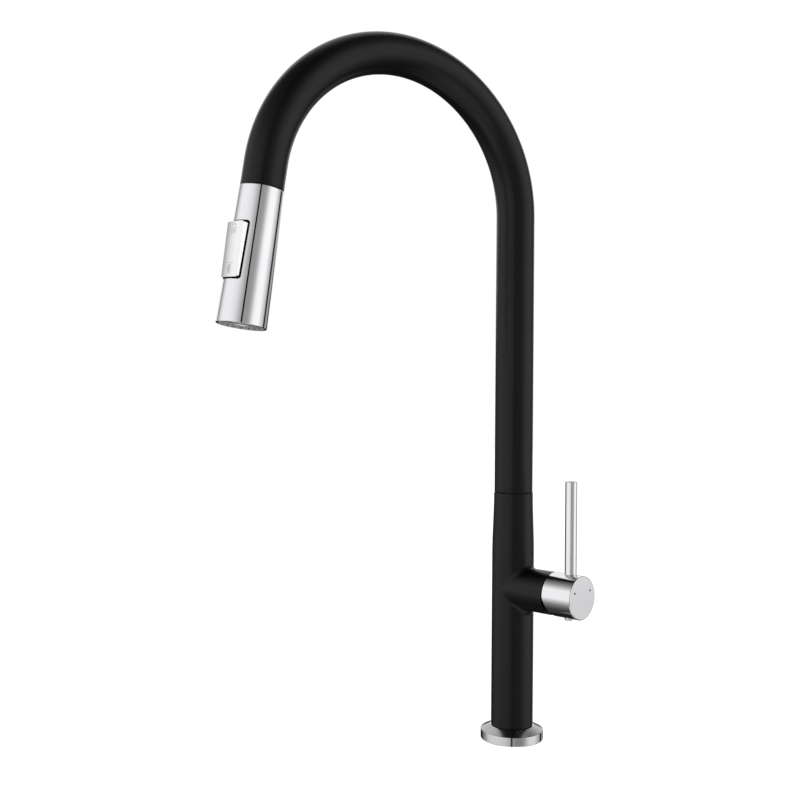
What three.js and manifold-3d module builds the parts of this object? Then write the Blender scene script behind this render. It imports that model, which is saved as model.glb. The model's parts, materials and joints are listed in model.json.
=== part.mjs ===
// Pull-down kitchen faucet, in millimetres, +Z up.
// The origin is the middle of the flange's underside, where the faucet stands on its deck.
// The spout reaches towards -Y. The handle stands out near +X, turned a little towards +Y.
import * as THREE from "three";
import { mergeVertices } from "three/addons/utils/BufferGeometryUtils.js";
import Module from "manifold-3d";

const wasm = await Module();
wasm.setup();

// ---- Driving dimensions -------------------------------------------------------------

const GAP = 0.3; // clearance between neighbours that touch on the real object
const FINE_SIDES = 36; // the large outer surfaces
const ROUND_SIDES = 20;
const SMALL_SIDES = 14;

// Spout: one bent tube of constant section.
const TUBE_R = 15.2;
const TUBE_WALL = 1.5;
const TUBE_START_Z = 196.2;
const BEND_START_Z = 414;
const BEND_R = 110;
const BEND_SWEEP = THREE.MathUtils.degToRad(171);
const BEND_STEPS = 24;
const TAIL = 18;
const TUBE_BORE = TUBE_R - TUBE_WALL;

// Body column with the lug that carries the handle.
const BODY_R = 16.6;
const BODY_TOP_R = 15.4;
const BODY_START_Z = 10.9;
const BODY_TAPER_Z = 141;
const BODY_END_Z = 195.9;
const BODY_BORE = 14.6;
const SIDE_TURN = THREE.MathUtils.degToRad(12.6); // from +X round to the lug's own axis
const LUG_Z = 120.5;
const LUG_END_X = 40.1;
const LUG_BORE = 14.3;
const LUG_FILLET = 4.5;

// Deck mounting.
const FLANGE_R = 24.8;
const FLANGE_BAND = 7;
const FLANGE_TOP_R = 17.2;
const FLANGE_TOP_Z = 10.6;
const SHANK_R = 13.9;
const SHANK_BORE = 11.5;
const SHANK_LOW_Z = -60;
const SHANK_TOP_Z = 34;
const THREAD_PITCH = 5;
const THREAD_DEPTH = 0.8;
const DECK_THICKNESS = 38;
const NUT_R = 22;
const NUT_HEIGHT = 12;
const NUT_SCREWS_AT = 17.7; // from the shank's axis to each clamping screw

// Cartridge: stations along the lug, measured from the column's axis.
const PIVOT_X = 34;
const CASE_R = 12.4;
const CASE_BORE = 11;
const NECK_R = 8.2;
const STEM_SIDE = 6;
const FOOT_ARM = 9.5;
const DOME_R = 15.4;
const DOME_FOOT_R = 13.9;
const PORT_ASIDE = 6.2; // hot and cold ports, either side of the mixed one in the middle
const PORT_R = 1.6;
const NIPPLE_PLACES = [
  [9.6, PORT_ASIDE],
  [9.6, -PORT_ASIDE],
  [11.2, 0],
];

// Handle.
const HUB_START_X = 40.8;
const HUB_END_X = 66.8;
const HUB_R = 16.7;
const HUB_BORE = 14.6;
const HUB_HOLLOW_X = 50;
const HUB_RELIEF = THREE.MathUtils.degToRad(17);
const LEVER_X = 55.8;
const LEVER_R = 4.5;
const LEVER_TOP_Z = 208;
const LEVER_SEAT_Z = 137.6;
const PLUG_X = 54.2;
const MARK_RADIUS = 11;
const MARK_ASIDE = THREE.MathUtils.degToRad(64); // from straight up

// Hose, and the spray head hung on it. Head stations are counted down from the tube's end.
const HOSE_R = 6;
const HOSE_SIDES = 8;
const HOSE_LOW_Z = -75;
const HOSE_END_S = 33.7;
const FERRULE_TOP_S = 26.2;
const HEAD_LENGTH = 95.4;
const HEAD_TOP_R = 15.6;
const HEAD_LOW_R = 17.4;
const HEAD_WALL = 1.4;
const HEAD_TURN = THREE.MathUtils.degToRad(12); // the docked head's turn about its own axis
const FACE_Z = 2 - HEAD_LENGTH; // the spray face's middle, with the head's top at 0
const CORE_R = 13.6;

// Mode rocker on the front of the head.
const ROCKER_MID_S = 46;
const ROCKER_LENGTH = 37.9;
const ROCKER_HALF_WIDTH = 8.8;
const ROCKER_CORNER = 1.4;
const ROCKER_FACE_R = 45;
const ROCKER_FACE_BACK = 27.6; // the face's own axis lies this far behind the head's
const ROCKER_BACK_Y = -12.7;
const ROCKER_PIVOT_Y = -8.5;
const ROCKER_SWING = THREE.MathUtils.degToRad(3.6);
const WINDOW_MID_S = 46.25;
const WINDOW_LENGTH = 40.4;
const WINDOW_HALF_WIDTH = 10.1;
const WINDOW_CORNER = 2;
const POCKET_Y = -9.6;
const SPOOL_S = 58.5;

// ---- Geometry helpers ---------------------------------------------------------------

// The mesh with shared vertices, no collapsed faces, and its faces turned outwards.
function closed(geometry) {
  const bare = geometry.clone();
  bare.deleteAttribute("normal");
  bare.deleteAttribute("uv");
  const merged = mergeVertices(bare, 1e-4);
  const kept = [];
  const index = merged.index.array;
  for (let i = 0; i < index.length; i += 3) {
    const [a, b, c] = [index[i], index[i + 1], index[i + 2]];
    if (a !== b && b !== c && c !== a) kept.push(a, b, c);
  }
  merged.setIndex(kept);
  return signedVolume(merged) < 0 ? turnedOver(merged) : merged;
}

function signedVolume(geometry) {
  const at = (i) => new THREE.Vector3().fromBufferAttribute(geometry.attributes.position, i);
  const index = geometry.index.array;
  let sum = 0;
  for (let i = 0; i < index.length; i += 3) {
    sum += at(index[i]).dot(at(index[i + 1]).cross(at(index[i + 2])));
  }
  return sum / 6;
}

function turnedOver(geometry) {
  const index = geometry.index.array;
  for (let i = 0; i < index.length; i += 3) {
    [index[i + 1], index[i + 2]] = [index[i + 2], index[i + 1]];
  }
  return geometry;
}

function toSolid(geometry) {
  const mesh = closed(geometry);
  return new wasm.Manifold(
    new wasm.Mesh({
      numProp: 3,
      vertProperties: new Float32Array(mesh.attributes.position.array),
      triVerts: new Uint32Array(mesh.index.array),
    }),
  );
}

function fromSolid(solid) {
  const mesh = solid.getMesh();
  const geometry = new THREE.BufferGeometry();
  geometry.setAttribute("position", new THREE.BufferAttribute(mesh.vertProperties, 3));
  geometry.setIndex(new THREE.BufferAttribute(mesh.triVerts, 1));
  return geometry;
}

function join(first, ...others) {
  return fromSolid(others.reduce((sum, other) => sum.add(toSolid(other)), toSolid(first)));
}

function cut(first, ...tools) {
  return fromSolid(tools.reduce((rest, tool) => rest.subtract(toSolid(tool)), toSolid(first)));
}

function common(first, second) {
  return fromSolid(toSolid(first).intersect(toSolid(second)));
}

// A profile of [radius, z] points turned about Z. It closes on itself unless it ends on the axis.
function revolve(profile, sides = ROUND_SIDES) {
  const points = profile.map(([r, z]) => new THREE.Vector2(r, z));
  const onAxis = profile[0][0] === 0 && profile[profile.length - 1][0] === 0;
  if (!onAxis) points.push(points[0].clone());
  return closed(new THREE.LatheGeometry(points, sides).rotateX(Math.PI / 2));
}

function disc(radius, low, high, sides = ROUND_SIDES) {
  return revolve([[0, low], [radius, low], [radius, high], [0, high]], sides);
}

function ring(inner, outer, low, high, sides = ROUND_SIDES) {
  return revolve([[inner, low], [outer, low], [outer, high], [inner, high]], sides);
}

// A disc with its rims broken by a small bevel.
function bevelledDisc(radius, low, high, bevel, sides = ROUND_SIDES) {
  const inner = radius - bevel;
  const rim = [[inner, low], [radius, low + bevel], [radius, high - bevel], [inner, high]];
  return revolve([[0, low], ...rim, [0, high]], sides);
}

function torus(radius, thickness, z) {
  const profile = [];
  for (let i = 0; i < 6; i += 1) {
    const turn = (i / 6) * 2 * Math.PI;
    profile.push([radius + thickness * Math.cos(turn), z + thickness * Math.sin(turn)]);
  }
  return revolve(profile);
}

function block([x0, x1], [y0, y1], [z0, z1]) {
  const shape = new THREE.BoxGeometry(x1 - x0, y1 - y0, z1 - z0);
  return shape.translate((x0 + x1) / 2, (y0 + y1) / 2, (z0 + z1) / 2);
}

// A round bar across Y, centred on y = mid.
function barAlongY(radius, mid, length, sides = SMALL_SIDES) {
  return disc(radius, -length / 2, length / 2, sides).rotateX(Math.PI / 2).translate(0, mid, 0);
}

function barAlongX(radius, length, sides = SMALL_SIDES) {
  return disc(radius, -length / 2, length / 2, sides).rotateY(Math.PI / 2);
}

function circleShape(radius, sides) {
  const points = [];
  for (let i = 0; i < sides; i += 1) {
    const turn = (i / sides) * 2 * Math.PI;
    points.push(new THREE.Vector2(radius * Math.cos(turn), radius * Math.sin(turn)));
  }
  return new THREE.Shape(points);
}

function sweep(shape, path, steps) {
  return closed(new THREE.ExtrudeGeometry(shape, { steps, bevelEnabled: false, extrudePath: path }));
}

// Places a copy of a tool at each angle of a circle about Z.
function around(count, radius, firstTurn, makeTool) {
  const tools = [];
  for (let i = 0; i < count; i += 1) {
    const turn = firstTurn + (i / count) * 2 * Math.PI;
    tools.push(makeTool().translate(radius * Math.cos(turn), radius * Math.sin(turn), 0));
  }
  return tools;
}

// The spout's centre line: up the riser, round the bend, then straight on for the tail.
// Its parameter spends one step on each straight part and the others on the bend.
class Gooseneck extends THREE.Curve {
  constructor({ fromZ, sweepAngle, bendSteps, tail }) {
    super();
    this.fromZ = fromZ;
    this.sweepAngle = sweepAngle;
    this.bendSteps = bendSteps;
    this.tail = tail;
    this.steps = bendSteps + (tail > 0 ? 2 : 1);
  }

  getPoint(t, target = new THREE.Vector3()) {
    const step = t * this.steps;
    if (step <= 1) {
      return target.set(0, 0, this.fromZ + (BEND_START_Z - this.fromZ) * step);
    }
    const turn = Math.min((step - 1) / this.bendSteps, 1) * this.sweepAngle;
    const beyond = Math.max(step - 1 - this.bendSteps, 0) * this.tail;
    const y = -BEND_R * (1 - Math.cos(turn)) - beyond * Math.sin(turn);
    const z = BEND_START_Z + BEND_R * Math.sin(turn) + beyond * Math.cos(turn);
    return target.set(0, y, z);
  }

  getPointAt(u, target) {
    return this.getPoint(u, target);
  }

  getTangentAt(u, target) {
    return this.getTangent(u, target);
  }
}

// A stretch of the bend alone, between two turning angles.
class BendStretch extends THREE.Curve {
  constructor(fromTurn, toTurn) {
    super();
    this.fromTurn = fromTurn;
    this.toTurn = toTurn;
  }

  getPoint(t, target = new THREE.Vector3()) {
    const turn = this.fromTurn + (this.toTurn - this.fromTurn) * t;
    const y = -BEND_R * (1 - Math.cos(turn));
    return target.set(0, y, BEND_START_Z + BEND_R * Math.sin(turn));
  }
}

class Helix extends THREE.Curve {
  constructor(radius, length, turns) {
    super();
    this.radius = radius;
    this.length = length;
    this.turns = turns;
  }

  getPoint(t, target = new THREE.Vector3()) {
    const turn = t * this.turns * 2 * Math.PI;
    return target.set(this.radius * Math.cos(turn), this.length * t, this.radius * Math.sin(turn));
  }
}

// ---- Materials ----------------------------------------------------------------------

const finishes = {
  matteBlack: { color: 0x1b1b1c, roughness: 0.55, metalness: 0.0 },
  chrome: { color: 0xd9dadd, roughness: 0.08, metalness: 1.0 },
  brass: { color: 0xb98d45, roughness: 0.35, metalness: 1.0 },
  steel: { color: 0xa9abad, roughness: 0.35, metalness: 1.0 },
  rubber: { color: 0x161616, roughness: 0.85, metalness: 0.0 },
  whitePlastic: { color: 0xe8e6e0, roughness: 0.45, metalness: 0.0 },
  blackPlastic: { color: 0x202124, roughness: 0.5, metalness: 0.0 },
  greyPlastic: { color: 0x77797c, roughness: 0.5, metalness: 0.0 },
  ceramic: { color: 0xf2efe8, roughness: 0.2, metalness: 0.0 },
  braid: { color: 0x6d6f72, roughness: 0.7, metalness: 0.0 },
  redMark: { color: 0xb3202c, roughness: 0.4, metalness: 0.0 },
  blueMark: { color: 0x2a45a8, roughness: 0.4, metalness: 0.0 },
};

const faucet = new THREE.Group();
const sideGroup = new THREE.Group();
const cartridgeGroup = new THREE.Group();
const headGroup = new THREE.Group();
sideGroup.add(cartridgeGroup);
faucet.add(sideGroup, headGroup);

function put(group, name, geometry, finish) {
  const material = new THREE.MeshStandardMaterial(finishes[finish]);
  const mesh = new THREE.Mesh(closed(geometry), material);
  mesh.name = name;
  group.add(mesh);
}

// ---- Deck mounting ------------------------------------------------------------------

function baseFlange() {
  const edge = 0.6;
  const profile = [
    [SHANK_R + GAP, 0],
    [FLANGE_R - edge, 0],
    [FLANGE_R, edge],
    [FLANGE_R, FLANGE_BAND - edge],
    [FLANGE_R - edge, FLANGE_BAND],
    [FLANGE_TOP_R + 1, FLANGE_TOP_Z - 0.3],
    [FLANGE_TOP_R, FLANGE_TOP_Z],
    [SHANK_R + GAP, FLANGE_TOP_Z],
  ];
  return cut(revolve(profile, FINE_SIDES), ring(16.5, 20.5, -1, 1.8));
}

function mountingShank() {
  const crests = [];
  for (let z = SHANK_LOW_Z + 2; z < SHANK_LOW_Z + 54; z += THREAD_PITCH) {
    crests.push([SHANK_R - THREAD_DEPTH, z], [SHANK_R, z + THREAD_PITCH / 2]);
  }
  const outside = [
    [SHANK_R - THREAD_DEPTH, SHANK_LOW_Z],
    ...crests,
    [SHANK_R - THREAD_DEPTH, -4],
    [SHANK_R, -3],
    [SHANK_R, SHANK_TOP_Z],
  ];
  return revolve([[SHANK_BORE, SHANK_LOW_Z], ...outside, [SHANK_BORE, SHANK_TOP_Z]], 20);
}

function mountingNut(top) {
  const low = top - NUT_HEIGHT;
  const nut = disc(NUT_R, low, top, 6);
  const lip = ring(SHANK_R + GAP, 16.6, low - 3, low + 1);
  const bore = disc(SHANK_R + GAP, top - 20, top + 1);
  const screwHoles = around(2, NUT_SCREWS_AT, 0, () => disc(2.1, top - 20, top + 1, 12));
  return cut(join(nut, lip), bore, ...screwHoles);
}

function nutScrew(side, top) {
  const shaft = disc(1.8, top - 17, top - 0.3, 12);
  const head = bevelledDisc(3.4, top - 20, top - 15.6, 0.5, 12);
  const slot = block([-0.5, 0.5], [-5, 5], [top - 21, top - 18.6]);
  return cut(join(shaft, head), slot).translate(side * NUT_SCREWS_AT, 0, 0);
}

function buildDeckMounting() {
  const gasketTop = -DECK_THICKNESS;
  const washerTop = gasketTop - 3.3;
  const nutTop = washerTop - 2.3;
  put(faucet, "base_flange", baseFlange(), "chrome");
  put(faucet, "base_gasket", ring(16.8, 20.2, 0, 1.5), "rubber");
  put(faucet, "mounting_shank", mountingShank(), "brass");
  put(faucet, "clamp_gasket", ring(SHANK_R + GAP, 24, gasketTop - 3, gasketTop), "rubber");
  put(faucet, "clamp_washer", ring(SHANK_R + GAP, 25, washerTop - 2, washerTop), "steel");
  put(faucet, "mounting_nut", mountingNut(nutTop), "brass");
  put(faucet, "nut_screw_left", nutScrew(-1, nutTop), "steel");
  put(faucet, "nut_screw_right", nutScrew(1, nutTop), "steel");
}

// ---- Body column --------------------------------------------------------------------

function bodyOutside() {
  const profile = [[0, BODY_START_Z], [BODY_R - 0.3, BODY_START_Z], [BODY_R, BODY_START_Z + 0.3]];
  const steps = 4;
  for (let i = 0; i <= steps; i += 1) {
    const t = i / steps;
    const ease = t * t * (3 - 2 * t);
    const z = BODY_TAPER_Z + (BODY_END_Z - BODY_TAPER_Z) * t;
    profile.push([BODY_R + (BODY_TOP_R - BODY_R) * ease, z]);
  }
  profile.push([0, BODY_END_Z]);
  return revolve(profile, FINE_SIDES);
}

// The rounded valley where the lug meets the column: a ball of the fillet's radius rolls
// between two equal cylinders, and each step of the loft is the slice under the ball.
// side is 1 for the valley above the lug and -1 for the one below.
function lugFillet(side) {
  const slices = 16;
  const arcSteps = 3;
  const reach = BODY_R + LUG_FILLET;
  const first = THREE.MathUtils.degToRad(7.5);
  const loops = [];
  for (let i = 0; i <= slices; i += 1) {
    const turn = first + (Math.PI - 2 * first) * (i / slices);
    const ball = new THREE.Vector3(
      reach * Math.sin(turn),
      reach * Math.cos(turn),
      side * reach * Math.sin(turn),
    );
    const scale = BODY_R / reach;
    const onLug = new THREE.Vector3(ball.x, ball.y * scale, ball.z * scale);
    const onBody = new THREE.Vector3(ball.x * scale, ball.y * scale, ball.z);
    const fromBall = onLug.clone().sub(ball);
    const toBall = onBody.clone().sub(ball);
    const angle = fromBall.angleTo(toBall);
    const loop = [];
    for (let k = 0; k <= arcSteps; k += 1) {
      const t = k / arcSteps;
      const a = Math.sin((1 - t) * angle) / Math.sin(angle);
      const b = Math.sin(t * angle) / Math.sin(angle);
      loop.push(ball.clone().addScaledVector(fromBall, a).addScaledVector(toBall, b));
    }
    loop.push(new THREE.Vector3(0.85 * onBody.x, 0.85 * onBody.y, 0.85 * onLug.z));
    loops.push(loop);
  }
  return loft(loops);
}

// Skins a row of equal loops and caps both ends with fans.
function loft(loops) {
  const size = loops[0].length;
  const points = loops.flat();
  const index = [];
  for (let i = 0; i < loops.length - 1; i += 1) {
    for (let k = 0; k < size; k += 1) {
      const [a, b] = [i * size + k, i * size + ((k + 1) % size)];
      index.push(a, b, a + size, b, b + size, a + size);
    }
  }
  const last = (loops.length - 1) * size;
  for (let k = 1; k < size - 1; k += 1) {
    index.push(0, k + 1, k);
    index.push(last, last + k, last + k + 1);
  }
  const geometry = new THREE.BufferGeometry().setFromPoints(points);
  geometry.setIndex(index);
  return closed(geometry);
}

function bodyShell() {
  const lug = disc(BODY_R, 0, LUG_END_X, FINE_SIDES).rotateY(Math.PI / 2).translate(0, 0, LUG_Z);
  const valleys = [1, -1].map((side) => lugFillet(side).translate(0, 0, LUG_Z));
  const shankBore = disc(SHANK_R + GAP, BODY_START_Z - 1, SHANK_TOP_Z + 4);
  const mainBore = disc(BODY_BORE, SHANK_TOP_Z + 2, 176);
  const spigotBore = disc(14, 175, BODY_END_Z + 1);
  const glideSeat = disc(14.7, 193.4, BODY_END_Z + 1);
  const lugBore = disc(LUG_BORE, 6.3, LUG_END_X + 1).rotateY(Math.PI / 2).translate(0, 0, LUG_Z);
  const outside = join(bodyOutside(), lug, ...valleys);
  return cut(outside, shankBore, mainBore, spigotBore, glideSeat, lugBore);
}

// The spigot that the spout turns on, with a flange that seats in the body.
function swivelSpigot() {
  return revolve([
    [10.2, 172],
    [14.3, 172],
    [14.3, 174.7],
    [13.7, 174.7],
    [13.7, 189],
    [11.8, 189],
    [11.8, 203.8],
    [11, 203.8],
    [11, 206.2],
    [11.8, 206.2],
    [11.8, 218.8],
    [11, 218.8],
    [11, 221.2],
    [11.8, 221.2],
    [11.8, 227.2],
    [11, 227.2],
    [11, 228.8],
    [11.8, 228.8],
    [11.8, 232],
    [10.2, 232],
  ]);
}

function snapRing() {
  const opening = block([5, 20], [-4, 4], [220, 240]);
  return cut(ring(11.2, 13.0, 227.5, 228.5), opening);
}

function valveBlock() {
  const seat = disc(13.9, 6.8, 14).rotateY(Math.PI / 2);
  const nipples = NIPPLE_PLACES.map(([x, y]) => disc(2.7, -28, -10, 10).translate(x, y, 0));
  const drops = NIPPLE_PLACES.map(([x, y]) => disc(PORT_R, -29, 0, 6).translate(x, y, 0));
  const ports = [PORT_ASIDE, -PORT_ASIDE, 0].map((y) =>
    disc(PORT_R, 10, 15, 6).rotateY(Math.PI / 2).translate(0, y, 0),
  );
  return cut(join(seat, ...nipples), ...drops, ...ports).translate(0, 0, LUG_Z);
}

function buildBody() {
  put(sideGroup, "body_shell", bodyShell(), "matteBlack");
  put(faucet, "swivel_spigot", swivelSpigot(), "brass");
  put(faucet, "glide_ring", ring(12.2, 14.4, 193.7, 195.9), "whitePlastic");
  put(faucet, "snap_ring", snapRing(), "steel");
  put(sideGroup, "valve_block", valveBlock(), "brass");
}

// ---- Cartridge and handle, built along Z and laid over to point along +X ---------------
// Inside this group a larger z is further out along the lug, and -X is up.

function portedDisc(radius, low, high) {
  const ports = [PORT_ASIDE, -PORT_ASIDE, 0].map((y) =>
    disc(PORT_R, low - 1, high + 1, 8).translate(0, y, 0),
  );
  return cut(disc(radius, low, high), ...ports);
}

function movingDisc() {
  const chamber = block([-2.4, 2.4], [-4.6, 4.6], [20, 22.2]);
  return cut(disc(7.6, 20.8, 23.2), chamber);
}

function discCarrier() {
  return cut(disc(7.6, 23.5, 26.4), disc(3.1, 24.1, 27, SMALL_SIDES));
}

function cartridgeCase() {
  return revolve([
    [CASE_BORE, 18.2],
    [CASE_R, 18.2],
    [CASE_R, 33.5],
    [10.4, 33.5],
    [10.4, 36.5],
    [8.6, 36.5],
    [8.6, 32.6],
    [CASE_BORE, 32.6],
  ]);
}

function cartridgeRotor() {
  const outside = revolve([
    [0, 27],
    [10.6, 27],
    [10.6, 32.2],
    [NECK_R, 32.2],
    [NECK_R, 38.4],
    [0, 38.4],
  ]);
  const half = STEM_SIDE / 2 + GAP;
  const stemSlot = block([-5.3, 5.3], [-half, half], [26, 40]);
  const pinHole = barAlongY(1.4, 0, 30, 16).translate(0, 0, PIVOT_X);
  return cut(outside, stemSlot, pinHole);
}

function cartridgeNut() {
  const slots = around(4, 12.4, Math.PI / 4, () => disc(1.3, 37, 40, 10));
  return cut(ring(10.7, 14, 33.9, 38.7), ...slots);
}

// A dome round the pivot closes the lug's mouth behind the tilting hub.
function cartridgeCover() {
  const baseX = 39;
  const shell = 1.2;
  const holeR = 8.4;
  const outer = [];
  const inner = [];
  const steps = 4;
  const startAngle = Math.asin(holeR / DOME_R);
  const endAngle = Math.asin(DOME_FOOT_R / DOME_R);
  for (let i = 0; i <= steps; i += 1) {
    const turn = startAngle + (endAngle - startAngle) * (i / steps);
    outer.push([DOME_R * Math.sin(turn), PIVOT_X + DOME_R * Math.cos(turn)]);
    inner.push([(DOME_R - shell) * Math.sin(turn), PIVOT_X + (DOME_R - shell) * Math.cos(turn)]);
  }
  inner[steps][1] = baseX;
  return revolve([...outer, [DOME_FOOT_R, baseX], ...inner.reverse()]);
}

function leverStem() {
  const half = STEM_SIDE / 2;
  const bar = block([-half, half], [-half, half], [27.4, 60]);
  const neck = disc(1.9, 25.5, 28, 12);
  const footZ = PIVOT_X - FOOT_ARM;
  const foot = common(
    closed(new THREE.SphereGeometry(2.7, 14, 8).rotateX(Math.PI / 2).translate(0, 0, footZ + 0.9)),
    block([-3, 3], [-3, 3], [footZ, footZ + 3]),
  );
  const pinHole = barAlongY(1.4, 0, 30, 16).translate(0, 0, PIVOT_X);
  return cut(join(bar, neck, foot), pinHole);
}

// Cuts the hub's lower back edge away so that it clears the lug when the lever is lifted.
function hubRelief() {
  const wedge = block([0, 60], [-30, 30], [-30, 0]);
  return wedge.rotateY(-HUB_RELIEF).translate(0, 0, HUB_START_X);
}

function handleHub() {
  const edge = 0.7;
  const profile = [
    [0, HUB_HOLLOW_X],
    [HUB_BORE, HUB_HOLLOW_X],
    [HUB_BORE, HUB_START_X],
    [HUB_R - 0.3, HUB_START_X],
    [HUB_R, HUB_START_X + 0.3],
    [HUB_R, HUB_END_X - edge],
    [HUB_R - edge, HUB_END_X],
    [0, HUB_END_X],
  ];
  const half = STEM_SIDE / 2 + GAP;
  const stemSocket = block([-half, half], [-half, half], [HUB_HOLLOW_X - 1, 60.5]);
  const leverHole = disc(3.2, 3, 20, 16).rotateY(-Math.PI / 2).translate(0, 0, LEVER_X);
  const screwHole = disc(2.9, 3, 20, 16).rotateY(Math.PI / 2).translate(0, 0, PLUG_X);
  const dotHoles = markPlaces().map(([x, y]) => disc(0.95, HUB_END_X - 0.7, 80, 12).translate(x, y, 0));
  const leverSeat = disc(LEVER_R + 0.4, LEVER_SEAT_Z - LUG_Z - 1, 30, 24)
    .rotateY(-Math.PI / 2)
    .translate(0, 0, LEVER_X);
  return cut(
    revolve(profile, FINE_SIDES),
    hubRelief(),
    stemSocket,
    leverHole,
    leverSeat,
    screwHole,
    ...dotHoles,
  );
}

// The hot mark is towards -Y and the cold mark towards +Y, either side of the lever.
function markPlaces() {
  const up = MARK_RADIUS * Math.cos(MARK_ASIDE);
  const across = MARK_RADIUS * Math.sin(MARK_ASIDE);
  return [-1, 1].map((side) => [-up, side * across]);
}

function leverPin() {
  const seat = LEVER_SEAT_Z - LUG_Z;
  const top = LEVER_TOP_Z - LUG_Z;
  const pin = bevelledDisc(LEVER_R, seat - 0.7, top, 0.5, 24);
  const stud = disc(2.9, STEM_SIDE / 2 + 0.6, seat + 1, 16);
  return join(pin, stud).rotateY(-Math.PI / 2).translate(0, 0, LEVER_X);
}

function setScrew() {
  const screw = disc(2.5, STEM_SIDE / 2 + 0.6, 11, 16);
  const hexKey = disc(1.3, 8, 12, 6);
  return cut(screw, hexKey).rotateY(Math.PI / 2).translate(0, 0, PLUG_X);
}

function screwPlug() {
  const stalk = disc(2.5, 11.4, HUB_R + 1, 16);
  const button = bevelledDisc(3.1, HUB_R + 0.3, HUB_R + 1.9, 0.5, 20);
  return join(stalk, button).rotateY(Math.PI / 2).translate(0, 0, PLUG_X);
}

function buildCartridge() {
  put(cartridgeGroup, "cartridge_seal", portedDisc(11.9, 14.3, 15.2), "rubber");
  put(cartridgeGroup, "cartridge_base", portedDisc(12.2, 15.5, 17.9), "whitePlastic");
  put(cartridgeGroup, "fixed_disc", portedDisc(10.6, 18.2, 20.5), "ceramic");
  put(cartridgeGroup, "moving_disc", movingDisc(), "ceramic");
  put(cartridgeGroup, "disc_carrier", discCarrier(), "blackPlastic");
  put(cartridgeGroup, "cartridge_case", cartridgeCase(), "whitePlastic");
  put(cartridgeGroup, "cartridge_rotor", cartridgeRotor(), "blackPlastic");
  put(cartridgeGroup, "pivot_pin", barAlongY(1.1, 0, 15, 16).translate(0, 0, PIVOT_X), "steel");
  put(cartridgeGroup, "cartridge_nut", cartridgeNut(), "brass");
  put(cartridgeGroup, "cartridge_cover", cartridgeCover(), "matteBlack");
}

function buildHandle() {
  const [hot, cold] = markPlaces();
  const dot = () => disc(0.8, HUB_END_X - 0.5, HUB_END_X + 0.05, 12);
  put(cartridgeGroup, "lever_stem", leverStem(), "steel");
  put(cartridgeGroup, "handle_hub", handleHub(), "chrome");
  put(cartridgeGroup, "lever_pin", leverPin(), "chrome");
  put(cartridgeGroup, "set_screw", setScrew(), "steel");
  put(cartridgeGroup, "screw_plug", screwPlug(), "chrome");
  put(cartridgeGroup, "hot_mark", dot().translate(...hot, 0), "redMark");
  put(cartridgeGroup, "cold_mark", dot().translate(...cold, 0), "blueMark");
}

// ---- Spout ----------------------------------------------------------------------------

function spoutTube() {
  const wall = circleShape(TUBE_R, 32);
  wall.holes.push(circleShape(TUBE_BORE, 16));
  const path = new Gooseneck({
    fromZ: TUBE_START_Z,
    sweepAngle: BEND_SWEEP,
    bendSteps: BEND_STEPS,
    tail: TAIL,
  });
  return sweep(wall, path, path.steps);
}

// Lies on the tube's centre line from below the deck to just short of the docking sleeve.
function pullHose() {
  const path = new Gooseneck({
    fromZ: HOSE_LOW_Z,
    sweepAngle: BEND_SWEEP - (HOSE_END_S - TAIL) / BEND_R,
    bendSteps: 16,
    tail: 0,
  });
  return sweep(circleShape(HOSE_R, HOSE_SIDES), path, path.steps);
}

// The short stretch that pays out between the tube and the hose's end.
function hoseTail() {
  const fromTurn = BEND_SWEEP - (HOSE_END_S - GAP - TAIL) / BEND_R;
  const toTurn = BEND_SWEEP - (FERRULE_TOP_S + 1.2 - TAIL) / BEND_R;
  return sweep(circleShape(HOSE_R, HOSE_SIDES), new BendStretch(fromTurn, toTurn), 2);
}

function hoseInletFitting() {
  const collar = bevelledDisc(7.2, HOSE_LOW_Z - 14, HOSE_LOW_Z - GAP, 0.6, 16);
  const hex = disc(8.6, HOSE_LOW_Z - 22, HOSE_LOW_Z - 14.5, 6);
  const spigot = disc(4.6, HOSE_LOW_Z - 30, HOSE_LOW_Z - 10, 16);
  const groove = ring(3.8, 6, HOSE_LOW_Z - 28, HOSE_LOW_Z - 26, 16);
  const bore = disc(3, HOSE_LOW_Z - 31, HOSE_LOW_Z - 4, 12);
  return cut(join(collar, hex, spigot), groove, bore);
}

function buildSpout() {
  put(faucet, "spout_tube", spoutTube(), "matteBlack");
  put(faucet, "spout_bush", ring(12.65, TUBE_BORE - GAP, 196.5, 227), "brass");
  put(faucet, "lower_o_ring", torus(11.68, 0.55, 205), "rubber");
  put(faucet, "upper_o_ring", torus(11.68, 0.55, 220), "rubber");
  put(faucet, "pull_hose", pullHose(), "braid");
  put(faucet, "hose_tail", hoseTail(), "braid");
  put(faucet, "hose_inlet_fitting", hoseInletFitting(), "brass");
}

// ---- Spray head: inside this group z = 0 is the tube's end and the head hangs towards -Z ----

function headRadius(s) {
  return HEAD_TOP_R + (HEAD_LOW_R - HEAD_TOP_R) * (s / HEAD_LENGTH);
}

function dockingSleeve() {
  const outer = TUBE_BORE - GAP;
  return revolve([[11.8, 0.5], [outer, 0.5], [outer, 15.5], [11.2, 15.5], [10.8, 14], [10.8, 3]]);
}

function hoseFerrule() {
  const bands = [];
  for (const z of [17, 21]) {
    bands.push([7, z], [6.6, z + 0.7], [6.6, z + 1.3], [7, z + 2]);
  }
  return revolve([[0, 13.6], [7, 13.6], ...bands, [7, FERRULE_TOP_S], [0, FERRULE_TOP_S]], 20);
}

// The swivel stem hangs from the ferrule and ends in a shoulder inside the nut.
function swivelStem() {
  return revolve([
    [2.2, 13.3],
    [4, 13.3],
    [4, 8],
    [6, 7],
    [6, 4],
    [4, 3],
    [2.2, 3],
  ], SMALL_SIDES);
}

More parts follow.
